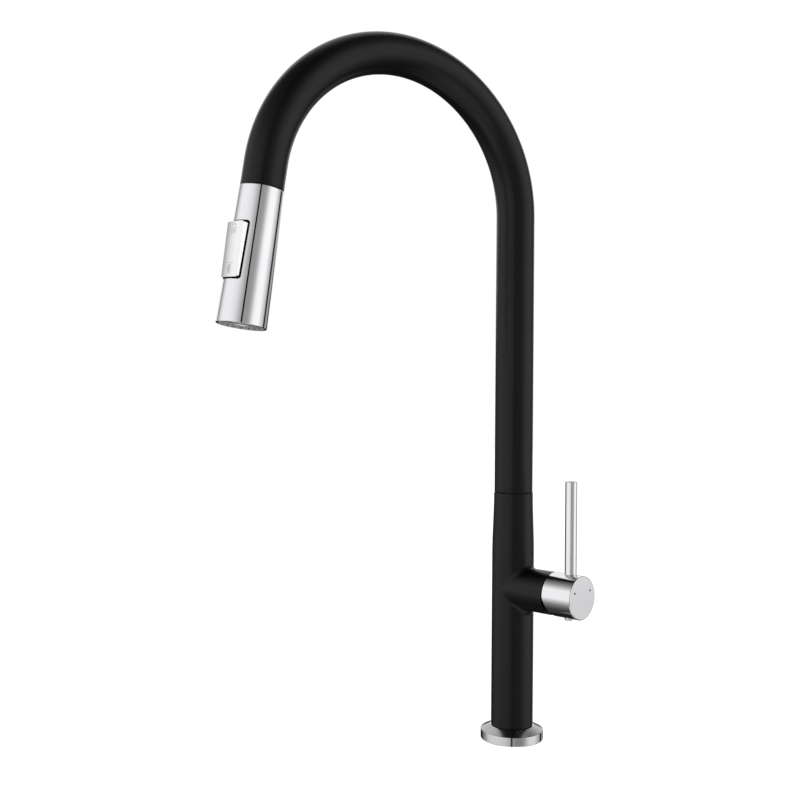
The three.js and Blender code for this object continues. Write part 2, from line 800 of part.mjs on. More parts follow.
function swivelNut() {
  return revolve([
    [4.5, 12.9],
    [8.2, 12.9],
    [10.2, 4],
    [10.2, 1],
    [7.5, 0.3],
    [7.5, -8.6],
    [6.5, -8.6],
    [6.5, 8.6],
    [4.5, 8.6],
  ]);
}

function filterWasher() {
  const mesh = around(6, 2.6, 0, () => disc(0.9, -13, -8, 6));
  return cut(disc(7.4, -11.6, -9.2, 24), ...mesh, disc(0.9, -13, -8, 6));
}

function checkValve() {
  const vanes = around(3, 3, 0, () => disc(1.2, -30, -10, 8));
  return cut(bevelledDisc(5.1, -20, -12.9, 0.5, 20), ...vanes);
}

function headCore() {
  const outside = revolve([
    [0, -1],
    [CORE_R, -1],
    [CORE_R, -66],
    [14.6, -67],
    [14.6, -71.8],
    [12.9, -71.8],
    [12.9, -74.2],
    [14.6, -74.2],
    [14.6, -80],
    [0, -80],
  ].reverse());
  const facePocket = block(
    [-20, 20],
    [-20, POCKET_Y],
    [-WINDOW_MID_S - WINDOW_LENGTH / 2, -WINDOW_MID_S + WINDOW_LENGTH / 2],
  );
  const lugPocket = block([-4.5, 4.5], [-20, -5], [-ROCKER_MID_S - 5, -ROCKER_MID_S + 5]);
  const pinHole = barAlongX(1.5, 40, 12).translate(0, ROCKER_PIVOT_Y, -ROCKER_MID_S);
  const spoolBore = barAlongY(3, -1.5, 18, 20).translate(0, 0, -SPOOL_S);
  const inlet = disc(7.9, -12.2, 0);
  const valveSeat = disc(5.4, -22, 0, 24);
  const channel = disc(3.4, -81, 0, 20);
  return cut(outside, facePocket, lugPocket, pinHole, spoolBore, inlet, valveSeat, channel);
}

function headShell() {
  const wallAt = (s) => [headRadius(s) - HEAD_WALL, -s];
  const skinAt = (s) => [headRadius(s), -s];
  const top = 0.4;
  const shell = revolve([
    wallAt(HEAD_LENGTH),
    skinAt(HEAD_LENGTH - 0.3),
    skinAt(top + 0.4),
    [headRadius(top) - 0.4, -top],
    wallAt(top),
  ], FINE_SIDES);
  return cut(shell, frontPrism(WINDOW_HALF_WIDTH, WINDOW_LENGTH / 2, WINDOW_CORNER, -WINDOW_MID_S));
}

// A rounded rectangle pushed through the front of the head.
function frontPrism(halfWidth, halfLength, corner, midZ) {
  const outline = new THREE.Shape();
  const [x, y] = [halfWidth, halfLength];
  outline.moveTo(-x + corner, -y);
  outline.lineTo(x - corner, -y);
  outline.absarc(x - corner, -y + corner, corner, -Math.PI / 2, 0);
  outline.lineTo(x, y - corner);
  outline.absarc(x - corner, y - corner, corner, 0, Math.PI / 2);
  outline.lineTo(-x + corner, y);
  outline.absarc(-x + corner, y - corner, corner, Math.PI / 2, Math.PI);
  outline.lineTo(-x, -y + corner);
  outline.absarc(-x + corner, -y + corner, corner, Math.PI, 1.5 * Math.PI);
  const prism = new THREE.ExtrudeGeometry(outline, { depth: 24, bevelEnabled: false, curveSegments: 4 });
  return closed(prism.rotateX(Math.PI / 2).translate(0, -4, midZ));
}

// The rocker's face is gently crowned. At rest its lower end is pressed in.
function modeRocker() {
  const mid = -ROCKER_MID_S;
  const half = ROCKER_LENGTH / 2;
  const face = disc(ROCKER_FACE_R, mid - half, mid + half, 144).translate(0, ROCKER_FACE_BACK, 0);
  const front = block([-30, 30], [-30, ROCKER_BACK_Y], [mid - half - 1, mid + half + 1]);
  const outline = frontPrism(ROCKER_HALF_WIDTH, half, ROCKER_CORNER, mid);
  const plate = common(common(face, front), outline);
  const lug = join(
    block([-4, 4], [ROCKER_BACK_Y - 1, ROCKER_PIVOT_Y], [mid - 3, mid + 3]),
    barAlongX(3, 8).translate(0, ROCKER_PIVOT_Y, mid),
  );
  const pinHole = barAlongX(1.5, 40, 16).translate(0, ROCKER_PIVOT_Y, mid);
  const rocker = cut(join(plate, lug), pinHole);
  rocker.translate(0, -ROCKER_PIVOT_Y, -mid).rotateX(ROCKER_SWING / 2);
  return rocker.translate(0, ROCKER_PIVOT_Y, mid);
}

function diverterSpool() {
  const tip = ROCKER_BACK_Y + 0.8;
  const back = 1.6;
  const lands = barAlongY(2.7, (tip + back) / 2, back - tip, 20);
  const waist = cut(barAlongY(3.2, -2, 4, 20), barAlongY(1.6, -2, 6, 16));
  return cut(lands, waist).translate(0, 0, -SPOOL_S);
}

function diverterSpring() {
  const path = new Helix(1.9, 5, 4);
  return sweep(circleShape(0.35, 4), path, 32).translate(0, 2.1, -SPOOL_S);
}

function nozzlePlaces() {
  const rings = [[10, 9.4], [15, 12.6]];
  return rings.flatMap(([count, radius]) => {
    const places = [];
    for (let i = 0; i < count; i += 1) {
      const turn = (i / count) * 2 * Math.PI;
      places.push([radius * Math.cos(turn), radius * Math.sin(turn)]);
    }
    return places;
  });
}

function sprayChamber() {
  return revolve([
    [6.7, -80.4],
    [15, -80.4],
    [15, FACE_Z + 5],
    [13.8, FACE_Z + 5],
    [13.8, -82.4],
    [7.9, -82.4],
    [7.9, -86],
    [6.7, -86],
  ]);
}

function nozzleMat() {
  const tips = nozzlePlaces().map(([x, y]) =>
    revolve([[0, FACE_Z - 2], [0.75, FACE_Z - 2], [1, FACE_Z + 4], [0, FACE_Z + 4]], 6).translate(x, y, 0),
  );
  return join(ring(7.4, 14.9, FACE_Z + 2.6, FACE_Z + 4.7), ...tips);
}

function sprayFace() {
  const holes = nozzlePlaces().map(([x, y]) => disc(1.2, FACE_Z - 3, FACE_Z + 3, 6).translate(x, y, 0));
  return cut(ring(6.8, 15.6, FACE_Z - 1.8, FACE_Z + 2.3, FINE_SIDES), ...holes);
}

function aeratorHousing() {
  return revolve([
    [5.2, FACE_Z - 1.6],
    [6.4, FACE_Z - 1.6],
    [6.4, -81],
    [4.4, -81],
    [4.4, -84.5],
    [5.2, -85.5],
  ]);
}

function aeratorInsert() {
  const holes = [
    ...around(6, 2, 0, () => disc(0.6, FACE_Z - 2, FACE_Z + 7, 6)),
    ...around(9, 3.6, 0.2, () => disc(0.55, FACE_Z - 2, FACE_Z + 7, 6)),
  ];
  return cut(disc(4.9, FACE_Z - 1, FACE_Z + 6), ...holes);
}

function buildHead() {
  put(headGroup, "docking_sleeve", dockingSleeve(), "blackPlastic");
  put(headGroup, "hose_ferrule", hoseFerrule(), "steel");
  put(headGroup, "swivel_stem", swivelStem(), "brass");
  put(headGroup, "swivel_nut", swivelNut(), "blackPlastic");
  put(headGroup, "filter_washer", filterWasher(), "rubber");
  put(headGroup, "check_valve", checkValve(), "whitePlastic");
  put(headGroup, "head_core", headCore(), "blackPlastic");
  put(headGroup, "core_o_ring", torus(14.1, 0.95, -73), "rubber");
  put(headGroup, "head_shell", headShell(), "chrome");
  put(headGroup, "spray_chamber", sprayChamber(), "whitePlastic");
  put(headGroup, "nozzle_mat", nozzleMat(), "rubber");
  put(headGroup, "spray_face", sprayFace(), "greyPlastic");
  put(headGroup, "aerator_housing", aeratorHousing(), "greyPlastic");
  put(headGroup, "aerator_insert", aeratorInsert(), "whitePlastic");
  const pin = barAlongX(1.2, 20, 16).translate(0, ROCKER_PIVOT_Y, -ROCKER_MID_S);
  put(headGroup, "rocker_pin", pin, "steel");
  put(headGroup, "mode_rocker", modeRocker(), "chrome");
  put(headGroup, "diverter_spool", diverterSpool(), "whitePlastic");
  put(headGroup, "diverter_spring", diverterSpring(), "steel");
}

// ---- Assembly ---------------------------------------------------------------------------

buildDeckMounting();
buildBody();
buildCartridge();
buildHandle();
buildSpout();
buildHead();

sideGroup.rotation.z = SIDE_TURN;
cartridgeGroup.position.set(0, 0, LUG_Z);
cartridgeGroup.rotation.y = Math.PI / 2;

const tubeEnd = new Gooseneck({
  fromZ: TUBE_START_Z,
  sweepAngle: BEND_SWEEP,
  bendSteps: BEND_STEPS,
  tail: TAIL,
}).getPoint(1);
headGroup.position.copy(tubeEnd);
headGroup.rotation.set(BEND_SWEEP - Math.PI, 0, HEAD_TURN);

export default faucet;
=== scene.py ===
"""Looks of the pull-down kitchen faucet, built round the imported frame.

Metres, +Z up. The spout reaches towards -Y and the handle stands out near +X.
The parts that show get finer meshes than their faceted solids, and the parts inside keep those
solids. Every material is procedural.
"""
import json
import math

import bmesh
import bpy
from mathutils import Matrix, Vector


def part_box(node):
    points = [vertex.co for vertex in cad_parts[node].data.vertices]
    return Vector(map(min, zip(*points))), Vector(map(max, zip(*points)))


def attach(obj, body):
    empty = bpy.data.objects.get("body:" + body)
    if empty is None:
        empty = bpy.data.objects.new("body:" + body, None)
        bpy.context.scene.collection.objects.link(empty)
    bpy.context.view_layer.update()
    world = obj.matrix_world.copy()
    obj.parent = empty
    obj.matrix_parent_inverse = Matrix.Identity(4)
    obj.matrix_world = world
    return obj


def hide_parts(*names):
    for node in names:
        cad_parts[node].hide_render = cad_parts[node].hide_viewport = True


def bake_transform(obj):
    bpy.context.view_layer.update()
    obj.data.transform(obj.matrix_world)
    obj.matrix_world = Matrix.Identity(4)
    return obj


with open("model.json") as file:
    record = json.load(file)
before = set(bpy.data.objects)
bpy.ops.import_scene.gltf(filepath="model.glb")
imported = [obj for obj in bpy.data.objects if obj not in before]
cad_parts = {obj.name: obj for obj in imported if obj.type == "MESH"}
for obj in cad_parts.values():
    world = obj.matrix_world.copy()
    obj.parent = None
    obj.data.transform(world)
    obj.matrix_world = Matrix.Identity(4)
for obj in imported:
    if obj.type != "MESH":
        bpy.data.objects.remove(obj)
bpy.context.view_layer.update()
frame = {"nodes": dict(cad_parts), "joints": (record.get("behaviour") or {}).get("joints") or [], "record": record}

MM = 0.001
SAME_SPOT = 1e-7
TINY = 1e-9
JOINTS = {joint["name"]: joint for joint in frame["joints"]}
SLOT_OF = {entry["node"]: entry["material_slot"] for entry in frame["record"]["subparts"]}

# ---- Camera: place, aim, roll and lens ----

CAMERA_PLACE = Vector((0.6576, -0.5319, 0.2765))
CAMERA_AIM = Vector((-0.8406, 0.5415, -0.0091))
CAMERA_ROLL = math.radians(0.37)
CAMERA_LENS = 47.45
SENSOR = 36.0

# ---- Frames of reference: round parts are turned about the Z axis of one of these ----

COLUMN = Matrix.Identity(4)
SIDE_AXIS = Vector(JOINTS["handle_turn"]["axis"])
SIDE_TURN = math.atan2(SIDE_AXIS.y, SIDE_AXIS.x)
SIDE = Matrix.Rotation(SIDE_TURN, 4, "Z")
LUG_Z = JOINTS["handle_turn"]["pos_m"][2]
LUG_MM = LUG_Z / MM
LUG = SIDE @ Matrix.Translation((0, 0, LUG_Z)) @ Matrix.Rotation(math.pi / 2, 4, "Y")
HEAD_DOWN = Vector(JOINTS["head_turn"]["axis"])
HEAD_TILT = math.atan2(HEAD_DOWN.y, -HEAD_DOWN.z)
HEAD_TURN = math.acos(-JOINTS["rocker_tilt"]["axis"][0])
HEAD = Matrix.Translation(JOINTS["head_turn"]["pos_m"]) @ Matrix.Rotation(HEAD_TILT, 4, "X")
HEAD = HEAD @ Matrix.Rotation(HEAD_TURN, 4, "Z")

# ---- Driving sizes, in millimetres ----
# _R is a radius, and _A a distance from the column's axis along the handle's. Heights on the head
# are counted from the tube's end, and the nut screws' from the nut's top.
# The tube and the hub are a hair slimmer than their faceted solids, to stay inside their box.

TUBE_R = 15.05
TUBE_BORE = 13.7
TUBE_START_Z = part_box("spout_tube")[0].z / MM
BEND_START_Z = 414
BEND_R = 110
BEND_SWEEP = math.pi + HEAD_TILT
TAIL = 18

COLUMN_R = 16.6
COLUMN_TOP_R = 15.4
COLUMN_WALL = 2.3
COLUMN_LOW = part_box("body_shell")[0].z / MM
COLUMN_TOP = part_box("body_shell")[1].z / MM
TAPER_START_Z = 146
LUG_FILLET = 4.5
LUG_END = 40.1

FLANGE_R = 24.8
FLANGE_BAND = 7
FLANGE_TOP_R = 17.2
FLANGE_TOP_Z = 10.6
FLANGE_BORE = 14.2
GROOVE_IN = 16.5
GROOVE_OUT = 20.5
GROOVE_DEPTH = 1.8
BASE_GASKET_HEIGHT = 1.5
CLAMP_GASKET_R = 24
CLAMP_GASKET_HEIGHT = 3
CLAMP_WASHER_R = 25
CLAMP_WASHER_HEIGHT = 2
SHANK_R = 13.9
SHANK_BORE = 11.5
SHANK_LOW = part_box("mounting_shank")[0].z / MM
SHANK_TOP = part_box("mounting_shank")[1].z / MM
THREAD_PITCH = 2
THREAD_DEPTH = 0.8
THREAD_TOP = -4
GASKET_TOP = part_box("clamp_gasket")[1].z / MM
NUT_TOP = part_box("mounting_nut")[1].z / MM
NUT_R = 22
NUT_HEIGHT = 12
NUT_COLLAR_R = 16.6
NUT_COLLAR_DROP = 3
SCREW_REACH = 17.7
SCREW_R = 1.8
SCREW_HOLE_R = 2.1
SCREW_HEAD_R = 3.4
SCREW_LENGTH = 20
SCREW_HEAD_TOP = -15.6
SLOT_HALF = 0.5
SLOT_DEPTH = 1.4
INLET_BORE = 3
INLET_NOSE_R = 4.6
INLET_GROOVE_R = 3.8
INLET_COLLAR_R = 7.2
INLET_CUP_R = 6.4
INLET_HEX_R = 8.6

PIVOT_A = Vector(JOINTS["handle_turn"]["pos_m"][:2]).length / MM
DOME_R = 15.4
DOME_WALL = 1.2
DOME_HOLE_R = 8.4
DOME_FOOT_R = 13.9
DOME_FOOT_A = 39
HUB_START = 40.8
HUB_END = 66.8
HUB_R = 16.65
HUB_BORE = 14.6
HUB_HOLLOW = 50
HUB_RELIEF = math.radians(17)
STEM_SOCKET_HALF = 3.3
STEM_SOCKET_END = 60.5
LEVER_A = 55.8
LEVER_R = 4.5
LEVER_TANG_R = 2.9
LEVER_TANG_DROP = 3.6
LEVER_SEAT = 136.9
LEVER_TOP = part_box("lever_pin")[1].z / MM
PLUG_A = 54.2
PLUG_R = 3.1
PLUG_SHANK_R = 2.5
PLUG_SHANK_LOW = 11.4
DOT_R = 0.8
MARK_RADIUS = 11
MARK_ASIDE = math.radians(64)

HEAD_LENGTH = 95.4
HEAD_TOP_R = 15.6
HEAD_LOW_R = 17.4
HEAD_WALL = 1.4
FACE_Z = 2 - HEAD_LENGTH
AERATOR_R = 4.9
AERATOR_RING_R = 6.4
ROCKER_MID = -46
ROCKER_LENGTH = 37.9
ROCKER_HALF_WIDTH = 8.8
ROCKER_CORNER = 1.3
ROCKER_FACE_R = 45
ROCKER_FACE_BACK = 27.6
ROCKER_BACK_PLANE = -12.7
ROCKER_PIVOT_Y = -8.5
ROCKER_BARREL_R = 3
ROCKER_PIN_HOLE_R = 1.5
ROCKER_REST = math.radians(JOINTS["rocker_tilt"]["range_deg"][1] / 2)
WINDOW_MID = -46.25
WINDOW_LENGTH = 40.4
WINDOW_HALF_WIDTH = 10.1
WINDOW_CORNER = 2

HOSE_R = 6
HOSE_LOW = -75
HOSE_END_SETBACK = 33.7
FERRULE_TOP = 26.2

# The gap between parts that touch, and the sides of round parts.
GAP = 0.3
FINE = 128
MEDIUM = 64
COARSE = 32
SMALL = 24


# ---- Mesh building ----

def new_object(name, points, faces, material=None, sharp=35):
    """A smooth-shaded object whose edges over the sharp angle, in degrees, stay crisp."""
    mesh = bpy.data.meshes.new(name)
    mesh.from_pydata([tuple(p) for p in points], [], faces)
    obj = bpy.data.objects.new(name, mesh)
    bpy.context.scene.collection.objects.link(obj)
    tidy_mesh(obj, sharp)
    if material:
        mesh.materials.append(material)
    return obj


def tidy_mesh(obj, sharp=35):
    """Merges doubles, turns the faces outwards and sets the smooth shading."""
    work = bmesh.new()
    work.from_mesh(obj.data)
    bmesh.ops.remove_doubles(work, verts=work.verts, dist=SAME_SPOT)
    bmesh.ops.recalc_face_normals(work, faces=work.faces)
    for face in work.faces:
        face.smooth = True
    for edge in work.edges:
        edge.smooth = len(edge.link_faces) == 2 and edge.calc_face_angle(0) < math.radians(sharp)
    work.to_mesh(obj.data)
    work.free()


def applied(obj):
    """Replaces the object's mesh by what its modifiers make of it."""
    graph = bpy.context.evaluated_depsgraph_get()
    graph.update()
    made = bpy.data.meshes.new_from_object(obj.evaluated_get(graph))
    old = obj.data
    obj.modifiers.clear()
    obj.data = made
    bpy.data.meshes.remove(old)


def carve(obj, tools, operation="DIFFERENCE"):
    """Cuts or joins closed tool objects with obj, and deletes them."""
    for tool in tools:
        change = obj.modifiers.new("carve", "BOOLEAN")
        change.operation = operation
        change.solver = "EXACT"
        change.object = tool
    applied(obj)
    for tool in tools:
        bpy.data.objects.remove(tool)
    tidy_mesh(obj)


def soften(obj, width, segments=2):
    """Rounds the crisp edges by a width in millimetres and keeps the broad faces looking flat."""
    bevel = obj.modifiers.new("soften", "BEVEL")
    bevel.width = width * MM
    bevel.segments = segments
    bevel.limit_method = "ANGLE"
    bevel.angle_limit = math.radians(40)
    applied(obj)
    tidy_mesh(obj, sharp=60)
    return even_normals(obj)


def even_normals(obj):
    """Lets the broad faces set the shading, beside small rounded edges."""
    weighted = obj.modifiers.new("even_normals", "WEIGHTED_NORMAL")
    weighted.keep_sharp = True
    weighted.weight = 80
    return obj


def rounded(profile):
    """Turns [r, z] and [r, z, fillet] points into points with rounded corners."""
    steps = 5
    result = []
    for i, point in enumerate(profile):
        here = Vector(point[:2])
        fillet = point[2] if len(point) > 2 else 0
        if fillet == 0:
            result.append(here)
            continue
        to_last = (Vector(profile[i - 1][:2]) - here).normalized()
        to_next = (Vector(profile[(i + 1) % len(profile)][:2]) - here).normalized()
        half = to_last.angle(to_next) / 2
        reach = fillet / math.tan(half)
        centre = here + (to_last + to_next).normalized() * (fillet / math.sin(half))
        first = here + to_last * reach - centre
        last = here + to_next * reach - centre
        for k in range(steps + 1):
            spoke = first.lerp(last, k / steps).normalized() * fillet
            result.append(centre + spoke)
    return result


def turned(name, profile, place, sides=MEDIUM, centres=((0, 0),)):
    """A profile of [r, z] or [r, z, fillet] points in millimetres, turned about the place's Z axis.

    It is closed on itself unless both its ends lie on the axis. centres gives several copies in one
    mesh, by the (x, y) of each.
    """
    outline = rounded(profile)
    on_axis = outline[0][0] == 0 and outline[-1][0] == 0
    points = []
    faces = []
    for x, y in centres:
        rings = []
        for r, z in outline:
            count = 1 if r == 0 else sides
            rings.append(list(range(len(points), len(points) + count)))
            for k in range(count):
                turn = 2 * math.pi * k / sides
                spot = Vector((x + r * math.cos(turn), y + r * math.sin(turn), z))
                points.append(place @ (spot * MM))
        pairs = list(zip(rings, rings[1:]))
        if not on_axis:
            pairs.append((rings[-1], rings[0]))
        faces += skin(pairs, sides)
    return new_object(name, points, faces)


def skin(pairs, sides):
    """Faces between neighbouring rings, where a ring of one point is a pole."""
    faces = []
    for low, high in pairs:
        for k in range(sides):
            after = (k + 1) % sides
            corners = [low[k % len(low)], low[after % len(low)]]
            corners += [high[after % len(high)], high[k % len(high)]]
            unique = list(dict.fromkeys(corners))
            if len(unique) > 2:
                faces.append(unique)
    return faces


def rods(radius, low, high, place, centres=((0, 0),), sides=COARSE):
    """Plain round bars for cutting and joining, in millimetres."""
    profile = [[0, low], [radius, low], [radius, high], [0, high]]
    return turned("tool", profile, place, sides, centres)


def block(name, low, high, place):
    """A box between two corners in millimetres."""
    corners = [
        (x, y, z) for x in (low[0], high[0]) for y in (low[1], high[1]) for z in (low[2], high[2])
    ]
    faces = [(0, 1, 3, 2), (4, 6, 7, 5), (0, 4, 5, 1), (2, 3, 7, 6), (0, 2, 6, 4), (1, 5, 7, 3)]
    points = [place @ (Vector(corner) * MM) for corner in corners]
    return new_object(name, points, faces)


def slab(outline, low_y, high_y, place):
    """A cutting tool: an outline of (x, z) points pushed from low_y to high_y, in millimetres."""
    count = len(outline)
    points = [place @ (Vector((x, y, z)) * MM) for y in (low_y, high_y) for x, z in outline]
    faces = [list(range(count)), list(range(2 * count - 1, count - 1, -1))]
    for k in range(count):
        after = (k + 1) % count
        faces.append([k, after, count + after, count + k])
    return new_object("tool", points, faces)


def rounded_rectangle(half_x, half_z, corner, mid_z):
    """(x, z) points round a rectangle with rounded corners."""
    steps = 8
    points = []
    for number in range(4):
        sign_x = 1 if number in (0, 3) else -1
        sign_z = 1 if number in (0, 1) else -1
        for k in range(steps + 1):
            turn = (number + k / steps) * math.pi / 2
            x = sign_x * (half_x - corner) + corner * math.cos(turn)
            z = sign_z * (half_z - corner) + corner * math.sin(turn)
            points.append((x, mid_z + z))
    return points


def spaced(start, end, steps):
    """The places that cut the way from start to end into equal steps, with both its ends."""
    return [start + (end - start) * k / steps for k in range(steps + 1)]


def ring_places(count, radius, first=0.0):
    """Points evenly round a circle."""
    turns = [first + 2 * math.pi * k / count for k in range(count)]
    return [(radius * math.cos(turn), radius * math.sin(turn)) for turn in turns]


def spout_frame(distance):
    """(centre, forward) of the spout's centre line, by the distance from the tube's lower end."""
    rise = BEND_START_Z - TUBE_START_Z
    arc = BEND_SWEEP * BEND_R
    if distance <= rise:
        return Vector((0, 0, TUBE_START_Z + distance)), Vector((0, 0, 1))
    turn = min((distance - rise) / BEND_R, BEND_SWEEP)
    forward = Vector((0, -math.sin(turn), math.cos(turn)))
    centre = Vector((0, -BEND_R * (1 - math.cos(turn)), BEND_START_Z + BEND_R * math.sin(turn)))
    beyond = max(distance - rise - arc, 0)
    return centre + forward * beyond, forward


SPOUT_LENGTH = BEND_START_Z - TUBE_START_Z + BEND_SWEEP * BEND_R + TAIL


def piped(name, stations, closed=True, sides=FINE):
    """A skin over (distance, radius) stations along the spout's centre line."""
    points = []
    rings = []
    for distance, radius in stations:
        centre, forward = spout_frame(distance)
        across = Vector((1, 0, 0))
        upright = forward.cross(across)
        count = 1 if radius == 0 else sides
        rings.append(list(range(len(points), len(points) + count)))
        for k in range(count):
            turn = 2 * math.pi * k / sides
            spoke = across * math.cos(turn) + upright * math.sin(turn)
            points.append((centre + spoke * radius) * MM)
    pairs = list(zip(rings, rings[1:]))
    if closed:
        pairs.append((rings[-1], rings[0]))
    return new_object(name, points, skin(pairs, sides))


def stand_in(obj, body, node, material=None):
    """obj is the finer mesh of that node: it rides on its body and takes its finish.

    A piece that is blended between two bodies is given no body here.
    """
    slot_name = SLOT_OF[node]
    obj.data.materials.clear()
    obj.data.materials.append(material or FINISHES[slot_name])
    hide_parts(node)
    if body:
        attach(obj, body)
    return obj


# ---- Materials ----

class NodeGraph:
    """Shader nodes and the links between them."""

    def __init__(self, tree):
        self.tree = tree

    def node(self, kind, inputs, **settings):
        node = self.tree.nodes.new("ShaderNode" + kind)
        for name, value in settings.items():
            setattr(node, name, value)
        self.feed(node, inputs)
        return node

    def feed(self, node, inputs):
        """Gives a node's inputs plain values, or links other nodes' outputs to them."""
        for name, value in inputs.items():
            if isinstance(value, bpy.types.NodeSocket):
                self.tree.links.new(value, node.inputs[name])
            else:
                node.inputs[name].default_value = value


class Painter(NodeGraph):
    """Builds one procedural material."""

    def __init__(self, name):
        self.material = bpy.data.materials.new(name)
        self.material.use_nodes = True
        super().__init__(self.material.node_tree)
        self.shader = self.tree.nodes["Principled BSDF"]
        self.place = self.node("TexCoord", {}).outputs["Object"]

    def shade(self, **inputs):
        """Feeds the shader's inputs, with _ for each space in their names."""
        self.feed(self.shader, {name.replace("_", " "): value for name, value in inputs.items()})

    def mapped(self, scale):
        return self.node("Mapping", {"Vector": self.place, "Scale": scale}).outputs["Vector"]

    def noise(self, scale, detail=4, stretch=(1, 1, 1)):
        inputs = {"Vector": self.mapped(stretch), "Scale": scale, "Detail": detail}
        return self.node("TexNoise", inputs).outputs["Fac"]

    def colour(self, value, dark, light):
        ramp = self.node("ValToRGB", {"Fac": value})
        for element, spot, colour in zip(ramp.color_ramp.elements, (0.3, 0.7), (dark, light)):
            element.position = spot
            element.color = (*colour, 1)
        self.shade(Base_Color=ramp.outputs["Color"])

    def roughness(self, value, low, high):
        band = self.node("MapRange", {"Value": value, "To Min": low, "To Max": high})
        self.shade(Roughness=band.outputs["Result"])

    def bump(self, value, depth, strength):
        bump = self.node("Bump", {"Height": value, "Distance": depth, "Strength": strength})
        self.shade(Normal=bump.outputs["Normal"])


def grained(name, dark, light, low, high, grain=900, depth=0.00002, **inputs):
    """A plain finish with fine grain: the base of the plastics, rubbers and paints."""
    paint = Painter(name)
    fine = paint.noise(grain, 3)
    paint.colour(paint.noise(30), dark, light)
    paint.roughness(fine, low, high)
    paint.bump(fine, depth, 0.4)
    paint.shade(**inputs)
    return paint.material


def metal(name, dark, light, low, high, grain=400, stretch=(1, 1, 1), depth=0.000004, strength=0.25):
    """Metal with fine grain, or brushed where the grain is stretched."""
    paint = Painter(name)
    fine = paint.noise(grain, 5, stretch)
    paint.colour(paint.noise(25), dark, light)
    paint.roughness(fine, low, high)
    paint.bump(fine, depth, strength)
    paint.shade(Metallic=1.0)
    return paint.material


def braided(name):
    """Grey nylon braid: two sets of crossing diagonal threads."""
    paint = Painter(name)
    waves = []
    for side in (1, -1):
        inputs = {"Vector": paint.mapped((side, side, 1)), "Scale": 260, "Distortion": 0.4}
        wave = paint.node("TexWave", inputs, wave_type="BANDS", bands_direction="DIAGONAL")
        waves.append(wave.outputs["Fac"])
    crossed = paint.node("Math", {0: waves[0], 1: waves[1]}, operation="MAXIMUM")
    threads = crossed.outputs["Value"]
    paint.colour(threads, (0.06, 0.062, 0.066), (0.26, 0.265, 0.28))
    paint.roughness(threads, 0.75, 0.5)
    paint.bump(threads, 0.0003, 0.8)
    return paint.material


CHROME_DARK = (0.8, 0.8, 0.82)
CHROME_LIGHT = (0.86, 0.86, 0.875)
FINISHES = {
    "matte_black": grained(
        "matte_black", (0.0018, 0.0018, 0.002), (0.0026, 0.0026, 0.0028), 0.25, 0.31, 1600, 0.000008,
        Specular_IOR_Level=0.27
    ),
    "chrome": metal("chrome", CHROME_DARK, CHROME_LIGHT, 0.045, 0.07),
    "brass": metal("brass", (0.52, 0.36, 0.14), (0.66, 0.47, 0.2), 0.25, 0.4, 900, (1, 1, 12)),
    "steel": metal("steel", (0.42, 0.43, 0.44), (0.55, 0.56, 0.57), 0.25, 0.4, 700, (1, 1, 10)),
    "rubber": grained("rubber", (0.012, 0.012, 0.012), (0.022, 0.022, 0.022), 0.7, 0.85),
    "white_plastic": grained("white_plastic", (0.72, 0.7, 0.66), (0.8, 0.79, 0.76), 0.35, 0.5),
    "black_plastic": grained("black_plastic", (0.008, 0.008, 0.009), (0.014, 0.014, 0.015), 0.5, 0.62),
    "grey_plastic": grained("grey_plastic", (0.2, 0.205, 0.215), (0.27, 0.275, 0.285), 0.35, 0.5),
    "silicone": grained("silicone", (0.05, 0.05, 0.054), (0.075, 0.075, 0.08), 0.5, 0.65),
    "ceramic": grained("ceramic", (0.78, 0.75, 0.7), (0.85, 0.83, 0.79), 0.12, 0.2),
    "braid": braided("braid"),
    "red_mark": grained("red_mark", (0.22, 0.006, 0.012), (0.3, 0.01, 0.018), 0.25, 0.4),
    "blue_mark": grained("blue_mark", (0.012, 0.016, 0.2), (0.018, 0.025, 0.28), 0.25, 0.4),
}
TURNED_CHROME = metal("turned_chrome", CHROME_DARK, CHROME_LIGHT, 0.05, 0.1, 700, (1, 1, 16), 0.000006, 0.4)
SATIN_CHROME = metal("satin_chrome", (0.86, 0.86, 0.86), (0.9, 0.9, 0.9), 0.08, 0.13, 900)
BRUSHED_CHROME = metal(
    "brushed_chrome", (0.36, 0.36, 0.37), (0.44, 0.44, 0.45), 0.14, 0.22, 900, (1, 1, 9), 0.00001, 0.6
)
ICON_GREY = grained("icon_grey", (0.6, 0.6, 0.61), (0.68, 0.68, 0.69), 0.4, 0.5)


# ---- Spout ----

def lip(radius, edge):
    """(setback, radius) points of a rounded rim, from its flat end to its side."""
    turns = spaced(0, math.pi / 2, 4)
    return [(edge * (1 - math.sin(turn)), radius - edge * (1 - math.cos(turn))) for turn in reversed(turns)]


def build_spout_tube():
    rim = 0.4
    bevel = 0.2
    outside = [(distance, TUBE_R) for distance in spaced(rim, SPOUT_LENGTH - rim, 150)[1:-1]]
    inside = [(distance, TUBE_BORE) for distance, _ in reversed(outside)]
    start = lip(TUBE_R, rim)
    end = [(SPOUT_LENGTH - setback, radius) for setback, radius in reversed(start)]
    stations = start + outside + end
    bore_end = [(SPOUT_LENGTH, TUBE_BORE + bevel), (SPOUT_LENGTH - bevel, TUBE_BORE)]
    bore_start = [(bevel, TUBE_BORE), (0, TUBE_BORE + bevel)]
    stand_in(piped("gooseneck_tube", stations + bore_end + inside + bore_start), "spout", "spout_tube")


# ---- Column with its lug ----

def column_radius(z, base_radius):
    """The column narrows softly towards its top."""
    share = min(max((z - TAPER_START_Z) / (COLUMN_TOP - TAPER_START_Z), 0), 1)
    return base_radius + (COLUMN_TOP_R - COLUMN_R) * share * share * (3 - 2 * share)


